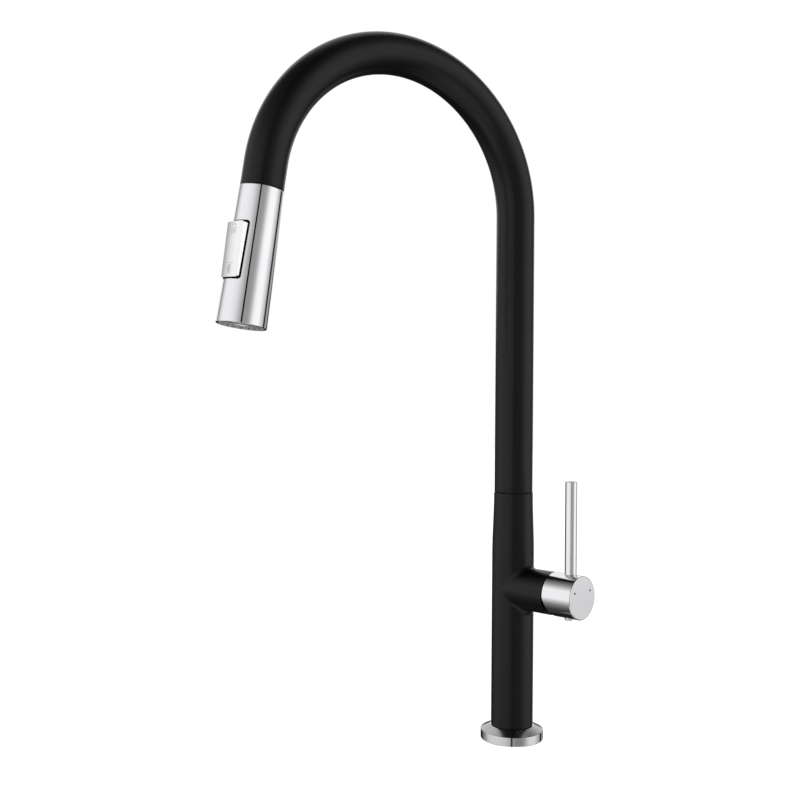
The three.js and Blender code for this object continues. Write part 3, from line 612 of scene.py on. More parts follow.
class Tee:
    """The skin of the column with its equal side lug and a rolled fillet between them, in millimetres.

    The patch round the lug is a fan of strands, from a rectangle on the column in over the fillet
    and out to the lug's rim. The rest of the column is a plain grid that shares its edge.
    trims are the setbacks from each open rim, and the last is how far the rim itself draws in.
    """

    AROUND = 96
    STEP = 2 * math.pi / AROUND
    SIDE_STEPS = 32
    PATCH_ROWS = 24
    PATCH_HALF = 26
    ROWS_BELOW = 12
    ROWS_ABOVE = 16

    def __init__(self, radius, fillet, trims):
        self.radius = radius
        self.fillet = fillet
        self.trims = trims
        self.points = []
        self.faces = []
        self.grid = {}
        self.rows = self.row_heights()
        self.first_patch = len(trims) + self.ROWS_BELOW - 1
        self.last_patch = self.first_patch + self.PATCH_ROWS
        self.add_grid_points()
        self.add_grid_faces()
        border = self.patch_border()
        turns = [2 * math.pi * number / len(border) for number in range(len(border))]
        strands = [self.strand(row, k, turn) for (row, k), turn in zip(border, turns)]
        for this, after in zip(strands, strands[1:] + strands[:1]):
            self.add_strip(this, after)
        bottom = [self.grid[0, k] for k in range(self.AROUND)]
        top = [self.grid[len(self.rows) - 1, k] for k in range(self.AROUND)]
        self.rims = (bottom, top, [strand[-1] for strand in strands])

    def row_heights(self):
        patch_low = LUG_MM - self.PATCH_HALF
        patch_high = LUG_MM + self.PATCH_HALF
        rows = [COLUMN_LOW + trim for trim in self.trims]
        rows += spaced(COLUMN_LOW, patch_low, self.ROWS_BELOW)[1:-1]
        rows += spaced(patch_low, patch_high, self.PATCH_ROWS)
        rows += spaced(patch_high, COLUMN_TOP, self.ROWS_ABOVE)[1:-1]
        return rows + [COLUMN_TOP - trim for trim in reversed(self.trims)]

    def add(self, x, y, z):
        self.points.append(Vector((x, y, z)))
        return len(self.points) - 1

    def on_column(self, turn, z):
        radius = column_radius(z, self.radius)
        return radius * math.cos(turn), radius * math.sin(turn)

    def beside_lug(self, steps):
        """Whether this many steps round the column is still within the patch's width."""
        return min(steps, self.AROUND - steps) < self.SIDE_STEPS

    def add_grid_points(self):
        for row, z in enumerate(self.rows):
            in_patch = self.first_patch < row < self.last_patch
            drawn_in = 1 - self.trims[-1] / self.radius if row in (0, len(self.rows) - 1) else 1
            for k in range(self.AROUND):
                if not (in_patch and self.beside_lug(k)):
                    x, y = self.on_column(k * self.STEP, z)
                    self.grid[row, k] = self.add(x * drawn_in, y * drawn_in, z)

    def add_grid_faces(self):
        for row in range(len(self.rows) - 1):
            in_patch = self.first_patch <= row < self.last_patch
            for k in range(self.AROUND):
                if not (in_patch and self.beside_lug(k + 0.5)):
                    after = (k + 1) % self.AROUND
                    corners = ((row, k), (row, after), (row + 1, after), (row + 1, k))
                    self.faces.append([self.grid[corner] for corner in corners])

    def patch_border(self):
        """(row, steps round) of the points on the patch's edge, upwards first and all the way round."""
        side = self.SIDE_STEPS
        middle = self.first_patch + self.PATCH_ROWS // 2
        border = [(row, side) for row in range(middle, self.last_patch)]
        border += [(self.last_patch, k) for k in range(side, -side, -1)]
        border += [(row, -side) for row in range(self.last_patch, self.first_patch, -1)]
        border += [(self.first_patch, k) for k in range(-side, side)]
        return border + [(row, side) for row in range(self.first_patch, middle)]

    def strand(self, row, k, turn):
        """One strand of points, from the patch's edge to the lug's rim."""
        reach = self.radius + self.fillet
        scale = self.radius / reach
        across = math.cos(turn)
        up = math.sin(turn)
        ball = Vector((reach * abs(up), reach * across, reach * up))
        on_body = Vector((ball.x * scale, ball.y * scale, ball.z))
        on_lug = Vector((ball.x, ball.y * scale, ball.z * scale))
        strand = [self.grid[row, k % self.AROUND]]
        strand += self.over_column(row, k, math.atan2(across, abs(up)), reach * up)
        strand += self.over_fillet(ball, on_body - ball, on_lug - ball)
        return strand + self.along_lug(on_lug.x, across, up)

    def over_column(self, row, k, hole_turn, hole_z):
        """From the patch's edge in over the column to the fillet."""
        steps = 10
        first_turn = k * self.STEP
        first_z = self.rows[row] - LUG_MM
        added = []
        for number in range(1, steps + 1):
            share = number / steps
            turn = first_turn + (hole_turn - first_turn) * share
            z = LUG_MM + first_z + (hole_z - first_z) * share
            added.append(self.add(*self.on_column(turn, z), z))
        return added

    def over_fillet(self, ball, first, last):
        """An arc round the centre of the rolling ball, between two directions."""
        steps = 6
        added = []
        for number in range(1, steps + 1):
            chord = first.lerp(last, number / steps)
            if chord.length > TINY:
                chord = chord.normalized() * self.fillet
            spot = ball + chord
            added.append(self.add(spot.x, spot.y, spot.z + LUG_MM))
        return added

    def along_lug(self, start, across, up):
        """From the fillet out to the lug's rim."""
        places = spaced(start, LUG_END, 8)[1:-1] + [LUG_END - trim for trim in reversed(self.trims)]
        added = []
        for x in places:
            drawn_in = self.trims[-1] if x > LUG_END - TINY else 0
            radius = self.radius - drawn_in
            added.append(self.add(x, radius * across, LUG_MM + radius * up))
        return added

    def add_strip(self, this, after):
        for j in range(len(this) - 1):
            corners = list(dict.fromkeys([this[j], after[j], after[j + 1], this[j + 1]]))
            if len(corners) > 2:
                self.faces.append(corners)


def build_column():
    outer = Tee(COLUMN_R, LUG_FILLET, [0, 0.12, 0.3])
    inner = Tee(COLUMN_R - COLUMN_WALL, 1, [0, 0.05, 0.1])
    shift = len(outer.points)
    points = [SIDE @ (point * MM) for point in outer.points + inner.points]
    faces = outer.faces + [[i + shift for i in reversed(face)] for face in inner.faces]
    for rim_out, rim_in in zip(outer.rims, inner.rims):
        count = len(rim_out)
        for k in range(count):
            after = (k + 1) % count
            faces.append([rim_out[k], rim_out[after], rim_in[after] + shift, rim_in[k] + shift])
    stand_in(new_object("column_body", points, faces, sharp=50), "body", "body_shell")


# ---- Deck mounting ----

def build_flange():
    """The base flange, polished on its band and brushed on its cone."""
    profile = [
        [FLANGE_BORE, 0],
        [GROOVE_IN, 0],
        [GROOVE_IN, GROOVE_DEPTH],
        [GROOVE_OUT, GROOVE_DEPTH],
        [GROOVE_OUT, 0],
        [FLANGE_R, 0, 0.5],
        [FLANGE_R, FLANGE_BAND, 0.3],
        [FLANGE_TOP_R, FLANGE_TOP_Z, 0.4],
        [FLANGE_BORE, FLANGE_TOP_Z],
    ]
    flange = even_normals(turned("flange", profile, COLUMN, FINE))
    stand_in(flange, "body", "base_flange", material=TURNED_CHROME)
    flange.data.materials.append(BRUSHED_CHROME)
    # The cone's own faces lean between the upright band and the flat top.
    for face in flange.data.polygons:
        if 0.5 < face.normal.z < 0.99:
            face.material_index = 1


def build_shank():
    """The threaded shank: each ring's radius follows the helix round it."""
    sides = MEDIUM
    rings_per_pitch = 6
    rows = int((THREAD_TOP - SHANK_LOW) / THREAD_PITCH * rings_per_pitch)
    points = []
    rings = []

    def add_ring(z, radius_at):
        rings.append(list(range(len(points), len(points) + sides)))
        for k in range(sides):
            turn = 2 * math.pi * k / sides
            radius = radius_at(turn)
            points.append(Vector((radius * math.cos(turn), radius * math.sin(turn), z)) * MM)

    def threaded(z):
        fade = min((z - SHANK_LOW) / THREAD_PITCH, (THREAD_TOP - z) / THREAD_PITCH, 1)

        def radius_at(turn):
            phase = (z / THREAD_PITCH + turn / (2 * math.pi)) % 1
            return SHANK_R - THREAD_DEPTH * (1 - fade * (1 - abs(2 * phase - 1)))
        return radius_at

    for z in spaced(SHANK_LOW, THREAD_TOP, rows):
        add_ring(z, threaded(z))
    plain = [
        (THREAD_TOP + THREAD_DEPTH, SHANK_R),
        (SHANK_TOP, SHANK_R),
        (SHANK_TOP, SHANK_BORE),
        (SHANK_LOW, SHANK_BORE),
    ]
    for z, radius in plain:
        add_ring(z, lambda turn, radius=radius: radius)
    pairs = list(zip(rings, rings[1:])) + [(rings[-1], rings[0])]
    stand_in(new_object("threaded_shank", points, skin(pairs, sides)), "body", "mounting_shank")


def build_clamp():
    """The gaskets, washer, nut and screws that hold the faucet from under the deck."""
    build_clamp_rings()
    build_nut()
    for node, side in (("nut_screw_left", -1), ("nut_screw_right", 1)):
        build_nut_screw(node, side)


def build_clamp_rings():
    edge = 0.4
    low = GASKET_TOP - CLAMP_GASKET_HEIGHT
    washer_low = low - GAP - CLAMP_WASHER_HEIGHT
    rings = [
        ("flange_gasket", "base_gasket", GROOVE_IN + GAP, GROOVE_OUT - GAP, 0, BASE_GASKET_HEIGHT),
        ("deck_gasket", "clamp_gasket", FLANGE_BORE, CLAMP_GASKET_R, low, GASKET_TOP),
        ("deck_washer", "clamp_washer", FLANGE_BORE, CLAMP_WASHER_R, washer_low, low - GAP),
    ]
    for name, node, inner, outer, bottom, top in rings:
        profile = [[inner, bottom], [outer, bottom, edge], [outer, top, edge], [inner, top]]
        stand_in(even_normals(turned(name, profile, COLUMN, FINE)), "body", node)


def build_nut():
    low = NUT_TOP - NUT_HEIGHT
    cut_low = low - 2 * NUT_COLLAR_DROP
    nut = rods(NUT_R, low, NUT_TOP, COLUMN, sides=6)
    nut.name = "shank_nut"
    carve(nut, [rods(NUT_COLLAR_R, low - NUT_COLLAR_DROP, low + 1, COLUMN, sides=FINE)], "UNION")
    holes = rods(SCREW_HOLE_R, cut_low, NUT_TOP + 1, COLUMN, [(-SCREW_REACH, 0), (SCREW_REACH, 0)])
    carve(nut, [rods(FLANGE_BORE, cut_low, NUT_TOP + 1, COLUMN, sides=FINE), holes])
    stand_in(soften(nut, 0.4), "body", "mounting_nut")


def build_nut_screw(node, side):
    """One slotted screw that presses the washer up from the nut."""
    place = Matrix.Translation((side * SCREW_REACH * MM, 0, NUT_TOP * MM))
    profile = [
        [0, -SCREW_LENGTH],
        [SCREW_HEAD_R, -SCREW_LENGTH, 0.6],
        [SCREW_HEAD_R, SCREW_HEAD_TOP],
        [SCREW_R, SCREW_HEAD_TOP],
        [SCREW_R, -GAP, 0.3],
        [0, -GAP],
    ]
    screw = turned(node.replace("nut", "clamp"), profile, place, COARSE)
    slot_low = (-SLOT_HALF, -5, -SCREW_LENGTH - 1)
    slot_high = (SLOT_HALF, 5, SLOT_DEPTH - SCREW_LENGTH)
    carve(screw, [block("tool", slot_low, slot_high, place)])
    stand_in(screw, "body", node)


def build_inlet_fitting():
    """The hose's lower end: a nose with a groove for its seal, a hexagon and a collar."""
    place = Matrix.Translation((0, 0, HOSE_LOW * MM))
    profile = [
        [INLET_BORE, -30],
        [INLET_NOSE_R, -30, 0.5],
        [INLET_NOSE_R, -28],
        [INLET_GROOVE_R, -27.6],
        [INLET_GROOVE_R, -26.4],
        [INLET_NOSE_R, -26],
        [INLET_NOSE_R, -14.2],
        [INLET_COLLAR_R, -14, 0.6],
        [INLET_COLLAR_R, -GAP, 0.5],
        [INLET_CUP_R, -GAP],
        [INLET_CUP_R, -4],
        [INLET_BORE, -4],
    ]
    fitting = turned("hose_inlet", profile, place, MEDIUM)
    flats = [[4, -22], [INLET_HEX_R, -22], [INLET_HEX_R, -14.5], [4, -14.5]]
    hexagon = turned("tool", flats, place, 6)
    carve(fitting, [hexagon], "UNION")
    stand_in(soften(fitting, 0.3), "spout", "hose_inlet_fitting")


# ---- Handle ----

def build_dome():
    """The cover behind the tilting hub: a zone of a sphere round the handle's pivot."""
    turns = spaced(math.asin(DOME_HOLE_R / DOME_R), math.asin(DOME_FOOT_R / DOME_R), 12)
    outer = [[DOME_R * math.sin(turn), PIVOT_A + DOME_R * math.cos(turn)] for turn in turns]
    shell = DOME_R - DOME_WALL
    inner = [[shell * math.sin(turn), PIVOT_A + shell * math.cos(turn)] for turn in turns]
    inner[-1][1] = DOME_FOOT_A
    profile = outer + [[DOME_FOOT_R, DOME_FOOT_A]] + inner[::-1]
    stand_in(turned("cartridge_dome", profile, LUG, FINE), "body", "cartridge_cover")


def build_hub():
    """The hub's shell, cut for its tilt, the lever, the stem, the plug and the two marks."""
    profile = [
        [0, HUB_HOLLOW],
        [HUB_BORE, HUB_HOLLOW],
        [HUB_BORE, HUB_START],
        [HUB_R, HUB_START, 0.3],
        [HUB_R, HUB_END, 0.8],
        [0, HUB_END],
    ]
    hub = turned("handle_hub_shell", profile, LUG, FINE)
    relief = Matrix.Translation((0, 0, HUB_START * MM)) @ Matrix.Rotation(-HUB_RELIEF, 4, "Y")
    lever_line = LUG @ Matrix.Translation((0, 0, LEVER_A * MM)) @ Matrix.Rotation(-math.pi / 2, 4, "Y")
    plug_line = LUG @ Matrix.Translation((0, 0, PLUG_A * MM)) @ Matrix.Rotation(math.pi / 2, 4, "Y")
    seat_depth = LEVER_SEAT - LUG_MM - 0.6
    half = STEM_SOCKET_HALF
    # The skirt's relief, the stem's socket, the lever's hole and seat, the plug's hole, the marks.
    tools = [
        block("tool", (0, -30, -30), (60, 30, 0), LUG @ relief),
        block("tool", (-half, -half, HUB_HOLLOW - 1), (half, half, STEM_SOCKET_END), LUG),
        rods(LEVER_TANG_R + GAP, 2, 20, lever_line),
        rods(LEVER_R + 0.35, seat_depth, 30, lever_line, sides=MEDIUM),
        rods(PLUG_SHANK_R + 0.4, 2, 20, plug_line),
        rods(DOT_R + 0.15, HUB_END - 0.7, HUB_END + 5, LUG, mark_places(), SMALL),
    ]
    carve(hub, tools)
    stand_in(soften(hub, 0.22), "handle", "handle_hub", material=TURNED_CHROME)


def mark_places():
    """Local (x, y) of the hot and cold marks on the hub's face, where -x is up."""
    return [
        (-MARK_RADIUS * math.cos(MARK_ASIDE), side * MARK_RADIUS * math.sin(MARK_ASIDE)) for side in (-1, 1)
    ]


def build_lever():
    place = SIDE @ Matrix.Translation((LEVER_A * MM, 0, 0))
    low = LUG_MM + LEVER_TANG_DROP
    profile = [
        [0, low],
        [LEVER_TANG_R, low, 0.3],
        [LEVER_TANG_R, LEVER_SEAT],
        [LEVER_R, LEVER_SEAT, 0.3],
        [LEVER_R, LEVER_TOP, 0.7],
        [0, LEVER_TOP],
    ]
    stand_in(even_normals(turned("lever", profile, place, MEDIUM)), "handle", "lever_pin")


def build_plug():
    place = SIDE @ Matrix.Translation((PLUG_A * MM, 0, LUG_Z)) @ Matrix.Rotation(math.pi, 4, "X")
    low = HUB_R + GAP
    high = HUB_R + 1.9
    profile = [
        [0, PLUG_SHANK_LOW],
        [PLUG_SHANK_R, PLUG_SHANK_LOW],
        [PLUG_SHANK_R, low],
        [PLUG_R, low, 0.3],
        [PLUG_R, high, 1.1],
        [0, high],
    ]
    stand_in(even_normals(turned("screw_cap", profile, place, COARSE)), "handle", "screw_plug")


def build_marks():
    low = HUB_END - 0.5
    profile = [[0, low], [DOT_R, low], [DOT_R, HUB_END, 0.1], [0, HUB_END + 0.04]]
    for node, spot in zip(("hot_mark", "cold_mark"), mark_places()):
        mark = turned(node.replace("mark", "dot"), profile, LUG, SMALL, [spot])
        stand_in(mark, "handle", node)


# ---- Spray head: z is 0 at the tube's end and the head hangs towards -z ----

def head_radius(depth):
    """The head widens a little towards its spray face."""
    return HEAD_TOP_R + (HEAD_LOW_R - HEAD_TOP_R) * depth / HEAD_LENGTH


def build_head_shell():
    top = 0.4
    profile = [
        [head_radius(HEAD_LENGTH) - HEAD_WALL, -HEAD_LENGTH, 0.2],
        [head_radius(HEAD_LENGTH), -HEAD_LENGTH, 0.4],
        [head_radius(top), -top, 0.9],
        [head_radius(top) - HEAD_WALL, -top],
    ]
    shell = turned("spray_head_shell", profile, HEAD, FINE)
    window = rounded_rectangle(WINDOW_HALF_WIDTH, WINDOW_LENGTH / 2, WINDOW_CORNER, WINDOW_MID)
    carve(shell, [slab(window, -30, -4, HEAD)])
    stand_in(soften(shell, 0.18), "spray_head", "head_shell")


def rocker_place():
    """The rocker's own tilt at rest, about its pin."""
    pin = Matrix.Translation((0, ROCKER_PIVOT_Y * MM, ROCKER_MID * MM))
    return HEAD @ pin @ Matrix.Rotation(ROCKER_REST, 4, "X") @ pin.inverted()


def face_depth(x):
    """How far forward the rocker's crowned face is, across its width."""
    return ROCKER_FACE_BACK - math.sqrt(ROCKER_FACE_R ** 2 - x * x)


def build_rocker():
    place = rocker_place()
    half = ROCKER_LENGTH / 2
    crown = place @ Matrix.Translation((0, ROCKER_FACE_BACK * MM, 0))
    rocker = rods(ROCKER_FACE_R, ROCKER_MID - half - 5, ROCKER_MID + half + 5, crown, sides=256)
    rocker.name = "rocker_button"
    outline = rounded_rectangle(ROCKER_HALF_WIDTH, half, ROCKER_CORNER, ROCKER_MID)
    carve(rocker, [slab(outline, -30, ROCKER_BACK_PLANE, place)], "INTERSECT")
    soften(rocker, 0.4, 3)
    lug_low = (-4, ROCKER_BACK_PLANE - 1, ROCKER_MID - 3)
    lug = block("rocker_lug", lug_low, (4, ROCKER_PIVOT_Y, ROCKER_MID + 3), place)
    barrel = place @ Matrix.Translation((0, ROCKER_PIVOT_Y * MM, ROCKER_MID * MM))
    barrel = barrel @ Matrix.Rotation(math.pi / 2, 4, "Y")
    # The barrel stops just inside the lug's sides, so that no two faces share a plane.
    carve(lug, [rods(ROCKER_BARREL_R, -3.9, 3.9, barrel)], "UNION")
    carve(lug, [rods(ROCKER_PIN_HOLE_R, -20, 20, barrel, sides=SMALL)])
    stand_in(rocker, "rocker", "mode_rocker", material=SATIN_CHROME)
    stand_in(lug, "rocker", "mode_rocker", material=FINISHES["chrome"])


def bar_mark(points, faces, x, z, half_x, half_z, place):
    """Adds one low raised bar to the rocker's face, in short lengths that follow its crown."""
    height = 0.1
    bury = 0.2
    lengths = max(1, round(half_x * 2))
    rings = []
    for number in range(lengths + 1):
        at_x = x + half_x * (2 * number / lengths - 1)
        rings.append(list(range(len(points), len(points) + 4)))
        for depth, sign in ((bury, -1), (bury, 1), (-height, 1), (-height, -1)):
            spot = Vector((at_x, face_depth(at_x) + depth, z + sign * half_z))
            points.append(place @ (spot * MM))
    faces += skin(zip(rings, rings[1:]), 4) + [rings[0], rings[-1]]


def build_rocker_marks():
    """Two generic icons: drops, a bar and three rays for the spray, a bar and strokes for the stream."""
    place = rocker_place()
    points = []
    faces = []
    top = ROCKER_MID + ROCKER_LENGTH / 2
    low = ROCKER_MID - ROCKER_LENGTH / 2
    drop, bar, ray, stroke = (0.3, 0.5), (3.5, 0.22), (0.28, 1.5), (0.28, 3.2)
    shapes = [(x, top - 2.4 + rise, *drop) for x, rise in ((-1.6, 0), (0, 0.5), (1.6, 0))]
    shapes += [(0, top - 4.4, *bar)]
    shapes += [(x, top - 6.8, *ray) for x in (-1.9, 0, 1.9)]
    shapes += [(0, low + 9.6, *bar)]
    shapes += [(x, low + 5.4, *stroke) for x in (-1.2, 0, 1.2)]
    for x, z, half_x, half_z in shapes:
        bar_mark(points, faces, x, z, half_x, half_z, place)
    marks = new_object("rocker_icons", points, faces, ICON_GREY)
    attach(marks, "rocker")


def nozzle_places():
    """Two rings of nozzles round the aerator."""
    return ring_places(10, 9.4) + ring_places(15, 12.6)


def build_spray_plate():
    low = FACE_Z - 1.8
    high = FACE_Z + 2.3
    plate = [[6.8, low, 0.2], [15.6, low, 0.5], [15.6, high], [6.8, high]]
    face = turned("spray_plate", plate, HEAD, FINE)
    carve(face, [rods(1.2, FACE_Z - 3, FACE_Z + 3, HEAD, nozzle_places(), 20)])
    stand_in(even_normals(face), "spray_head", "spray_face")


def build_nozzles():
    """The rubber tips that stand through the plate, and the mat behind them."""
    tip = [
        [0, FACE_Z - 1.2],
        [0.36, FACE_Z - 1.2],
        [0.36, FACE_Z - 2],
        [0.72, FACE_Z - 2, 0.1],
        [0.98, FACE_Z + 4],
        [0, FACE_Z + 4],
    ]
    tips = turned("nozzle_tips", tip, HEAD, 20, nozzle_places())
    low = FACE_Z + 2.6
    high = FACE_Z + 4.7
    mat = turned("nozzle_pad", [[7.4, low], [14.9, low], [14.9, high], [7.4, high]], HEAD, MEDIUM)
    stand_in(tips, "spray_head", "nozzle_mat")
    stand_in(mat, "spray_head", "nozzle_mat")


def build_aerator():
    """The threaded ring in the middle of the face, and the insert with its grid of holes."""
    housing = [
        [AERATOR_R + GAP, FACE_Z - 1.6, 0.2],
        [AERATOR_RING_R, FACE_Z - 1.6, 0.3],
        [AERATOR_RING_R, -81],
        [4.4, -81],
        [4.4, -84.5],
        [AERATOR_R + GAP, -85.5],
    ]
    stand_in(turned("aerator_ring", housing, HEAD), "spray_head", "aerator_housing")
    low = FACE_Z - 1
    high = FACE_Z + 6
    grid = [[0, low], [AERATOR_R, low, 0.2], [AERATOR_R, high], [0, high]]
    insert = turned("aerator_grid", grid, HEAD)
    holes = ring_places(6, 2) + ring_places(9, 3.6, 0.2)
    carve(insert, [rods(0.55, FACE_Z - 2, FACE_Z + 7, HEAD, holes, 12)])
    stand_in(even_normals(insert), "spray_head", "aerator_insert")


def build_docking():
    """The sleeve in the tube's end, and the swivel that the head hangs on."""
    sleeve = [
        [11.8, 0.5, 0.3],
        [TUBE_BORE - GAP, 0.5, 0.3],
        [TUBE_BORE - GAP, 15.5],
        [11.2, 15.5],
        [10.8, 14],
        [10.8, 3],
    ]
    stand_in(turned("docking_ring", sleeve, HEAD), "spout", "docking_sleeve")
    crimps = []
    for z in (17, 21):
        crimps += [[7, z], [6.6, z + 0.7], [6.6, z + 1.3], [7, z + 2]]
    ferrule = [[0, 13.6], [7, 13.6, 0.4]] + crimps + [[7, FERRULE_TOP, 0.4], [0, FERRULE_TOP]]
    stand_in(turned("crimp_ferrule", ferrule, HEAD), "hose_end", "hose_ferrule")
    nut = [
        [4.5, 12.9],
        [8.2, 12.9, 0.4],
        [10.2, 4, 0.8],
        [10.2, 1, 0.4],
        [7.5, 0.3],
        [7.5, -8.6],
        [6.5, -8.6],
        [6.5, 8.6],
        [4.5, 8.6],
    ]
    stand_in(turned("swivel_collar", nut, HEAD), "spray_head", "swivel_nut")


# ---- Hose ----

def build_hose():
    """The hose inside the spout, and the stretch that draws out with the head."""
    low = HOSE_LOW - TUBE_START_Z
    high = SPOUT_LENGTH - HOSE_END_SETBACK
    run = [(low, 0)] + [(distance, HOSE_R) for distance in spaced(low, high, 110)] + [(high, 0)]
    stand_in(piped("hose_run", run, False, COARSE), "spout", "pull_hose")

    first = high + GAP
    last = SPOUT_LENGTH - FERRULE_TOP - 1.2
    pull = [(first, 0)] + [(distance, HOSE_R) for distance in spaced(first, last, 170)] + [(last, 0)]
    stretch = stand_in(piped("hose_stretch", pull, False, COARSE), None, "hose_tail")
    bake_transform(stretch)


# ---- Camera, light and floor ----

def build_camera():
    data = bpy.data.cameras.new("camera")
    data.lens = CAMERA_LENS
    data.sensor_width = SENSOR
    data.clip_start = 0.01
    camera = bpy.data.objects.new("camera", data)
    bpy.context.scene.collection.objects.link(camera)
    forward = CAMERA_AIM.normalized()
    right = forward.cross(Vector((0, 0, 1))).normalized()
    up = right.cross(forward)
    turned_right = right * math.cos(CAMERA_ROLL) + up * math.sin(CAMERA_ROLL)
    turned_up = up * math.cos(CAMERA_ROLL) - right * math.sin(CAMERA_ROLL)
    basis = Matrix((turned_right, turned_up, -forward)).transposed()
    camera.matrix_world = Matrix.Translation(CAMERA_PLACE) @ basis.to_4x4()
    bpy.context.scene.camera = camera


# The studio is a ring of upright panels round the faucet. Each entry is an azimuth in degrees,
# counted from the camera's side towards its right, and how bright the ring is there.
STUDIO_FRONT = math.atan2(-CAMERA_AIM.y, -CAMERA_AIM.x)
RING_TURNS = [
    (-180, 0.02), (-146, 0.02), (-136, 0.25), (-122, 0.4), (-104, 0.85), (-90, 1.0),
    (-55, 1.0), (-27, 0.86), (-10, 0.6), (-2, 0.46), (12, 0.33), (31, 0.36),
    (40, 0.48), (49, 0.72), (58, 1.03), (68, 1.12), (88, 1.12), (97, 0.88),
    (106, 0.74), (114, 0.55), (119, 0.5), (121, 0.0), (133, 0.0), (135, 0.42),
    (150, 0.4), (158, 0.03), (180, 0.02),
]
# How much of the ring shows at each height: the sine of the elevation and the share.
RING_HEIGHTS = [
    (-0.95, 0.02), (-0.75, 0.08), (-0.55, 0.24), (-0.35, 0.62), (-0.15, 1.0),
    (0.45, 1.0), (0.6, 0.66), (0.7, 0.4), (0.82, 0.22), (0.95, 0.1),
]
# A raised panel behind the faucet: azimuth shares and height shares.
BACK_TURNS = [(-180, 1.0), (-140, 1.0), (-130, 0.0), (138, 0.0), (150, 1.0), (180, 1.0)]
BACK_HEIGHTS = [(0.04, 0.0), (0.12, 1.0), (0.7, 1.0), (0.86, 0.7), (0.97, 0.5)]
# A low panel in front, below the horizon: azimuth shares and height shares.
FRONT_TURNS = [(-180, 0.0), (-80, 0.0), (-45, 1.0), (45, 1.0), (80, 0.0), (180, 0.0)]
FRONT_HEIGHTS = [(-1.0, 0.7), (-0.85, 0.9), (-0.6, 0.8), (-0.4, 0.35), (-0.3, 0.0)]
# The pale ground straight below, which the chrome shows when it is seen from above.
GROUND_TURNS = [(-180, 1.0), (180, 1.0)]
GROUND_HEIGHTS = [(-1.0, 0.5), (-0.9, 0.45), (-0.84, 0.0)]
STUDIO_PANELS = [
    (RING_TURNS, RING_HEIGHTS),
    (BACK_TURNS, BACK_HEIGHTS),
    (FRONT_TURNS, FRONT_HEIGHTS),
    (GROUND_TURNS, GROUND_HEIGHTS),
]
STUDIO_GLOW = 0.012
FLAG_WIDTH = 0.09
FLAG_HEIGHT = 3.0


class Studio(NodeGraph):
    """The world's light as nodes: brightness by direction."""

    def __init__(self, tree):
        super().__init__(tree)
        inputs = {"Vector": self.node("TexCoord", {}).outputs["Generated"], "Angle": -STUDIO_FRONT}
        spin = self.node("VectorRotate", inputs, rotation_type="Z_AXIS")
        parts = self.node("SeparateXYZ", {"Vector": spin.outputs["Vector"]}).outputs
        self.height = parts["Z"]
        self.turn = self.math("ARCTAN2", parts["Y"], parts["X"])

    def math(self, operation, first, second):
        return self.node("Math", {0: first, 1: second}, operation=operation).outputs["Value"]

    def ramp(self, value, low, high, stops):
        """The stops' values, read off between low and high."""
        scaled = self.math("DIVIDE", self.math("SUBTRACT", value, low), high - low)
        ramp = self.node("ValToRGB", {"Fac": scaled})
        elements = ramp.color_ramp.elements
        while len(elements) < len(stops):
            elements.new(0.5)
        for element, (spot, _) in zip(elements, stops):
            element.position = (spot - low) / (high - low)
        for element, (_, level) in zip(elements, stops):
            element.color = (level, level, level, 1)
        return ramp.outputs["Color"]

    def around(self, stops):
        radians = [(math.radians(degrees), level) for degrees, level in stops]
        return self.ramp(self.turn, -math.pi, math.pi, radians)

    def brightness(self):
        """The brightest panel in each direction, over a faint glow."""
        brightest = 0.0
        for turns, heights in STUDIO_PANELS:
            panel = self.math("MULTIPLY", self.around(turns), self.ramp(self.height, -1, 1, heights))
            brightest = self.math("MAXIMUM", panel, brightest)
        return self.math("ADD", brightest, STUDIO_GLOW)

    def background(self, strength):
        inputs = {"Color": (1, 1, 1, 1), "Strength": strength}
        return self.node("Background", inputs).outputs["Background"]


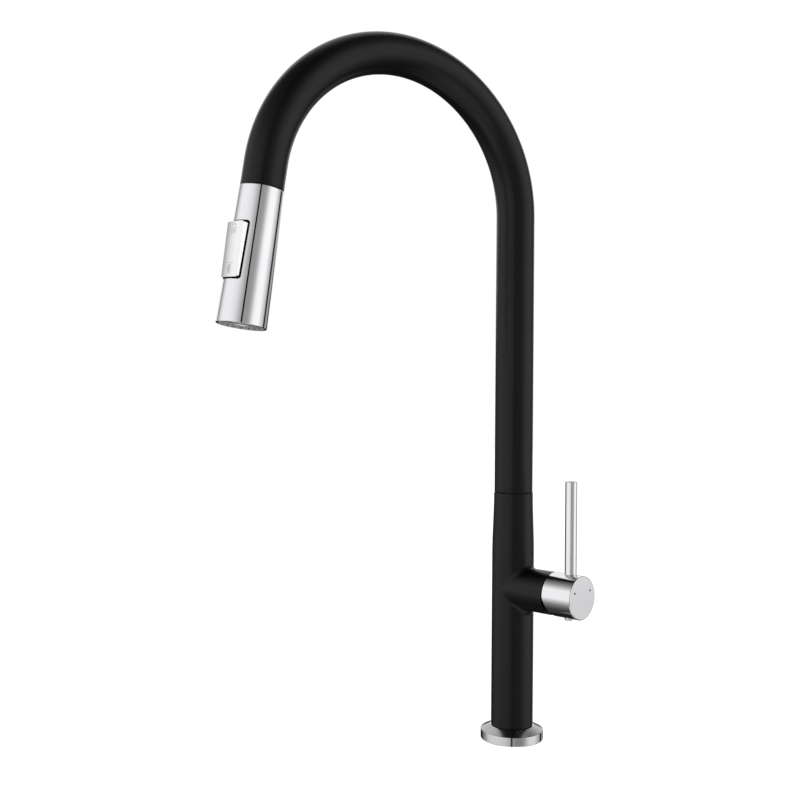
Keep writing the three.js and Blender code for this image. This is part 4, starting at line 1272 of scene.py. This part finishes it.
def build_world():
    """A plain white background, and a studio of soft panels for light and reflections."""
    world = bpy.data.worlds.new("studio")
    bpy.context.scene.world = world
    world.use_nodes = True
    world.node_tree.nodes.clear()
    studio = Studio(world.node_tree)
    seen_directly = studio.node("LightPath", {}).outputs["Is Camera Ray"]
    light = studio.background(studio.brightness())
    mix = studio.node("MixShader", {"Fac": seen_directly, 1: light, 2: studio.background(1.0)})
    studio.node("OutputWorld", {"Surface": mix.outputs["Shader"]})


def build_flag():
    """A tall black strip at the camera, which draws the dark line down the middle of the chrome."""
    paint = Painter("flag_black")
    paint.colour(paint.noise(8, 2), (0.002, 0.002, 0.002), (0.003, 0.003, 0.003))
    paint.shade(Roughness=1.0, Specular_IOR_Level=0.0)
    place = Matrix.Translation((CAMERA_PLACE.x, CAMERA_PLACE.y, 0)) @ Matrix.Rotation(STUDIO_FRONT, 4, "Z")
    half = FLAG_WIDTH / 2
    corners = [(-half, -FLAG_HEIGHT), (half, -FLAG_HEIGHT), (half, FLAG_HEIGHT), (-half, FLAG_HEIGHT)]
    points = [place @ Vector((0, y, z)) for y, z in corners]
    flag = new_object("flag", points, [(0, 1, 2, 3)], paint.material)
    flag.visible_camera = False
    flag.visible_diffuse = False
    flag.visible_shadow = False


def build_floor():
    """A plain white floor at deck level, which the chrome doesn't mirror."""
    paint = Painter("floor_white")
    paint.colour(paint.noise(8, 2), (0.3, 0.3, 0.3), (0.33, 0.33, 0.33))
    paint.shade(Roughness=0.9, Emission_Color=(1, 1, 1, 1), Emission_Strength=0.97)
    reach = 4.0
    points = [(0, 0, 0)]
    points += [(x, y, 0) for x, y in ring_places(MEDIUM, reach)]
    faces = [(0, 1 + k, 1 + (k + 1) % MEDIUM) for k in range(MEDIUM)]
    floor = new_object("floor", points, faces, paint.material)
    floor.visible_glossy = False
    floor.visible_shadow = False


bpy.context.scene.view_settings.view_transform = "Standard"
build_camera()
build_world()
build_flag()
build_floor()
for build in (
    build_spout_tube,
    build_column,
    build_flange,
    build_shank,
    build_clamp,
    build_inlet_fitting,
    build_dome,
    build_hub,
    build_lever,
    build_plug,
    build_marks,
    build_head_shell,
    build_rocker,
    build_rocker_marks,
    build_spray_plate,
    build_nozzles,
    build_aerator,
    build_docking,
    build_hose,
):
    build()
for node, obj in frame["nodes"].items():
    obj.data.materials.clear()
    obj.data.materials.append(FINISHES[SLOT_OF[node]])
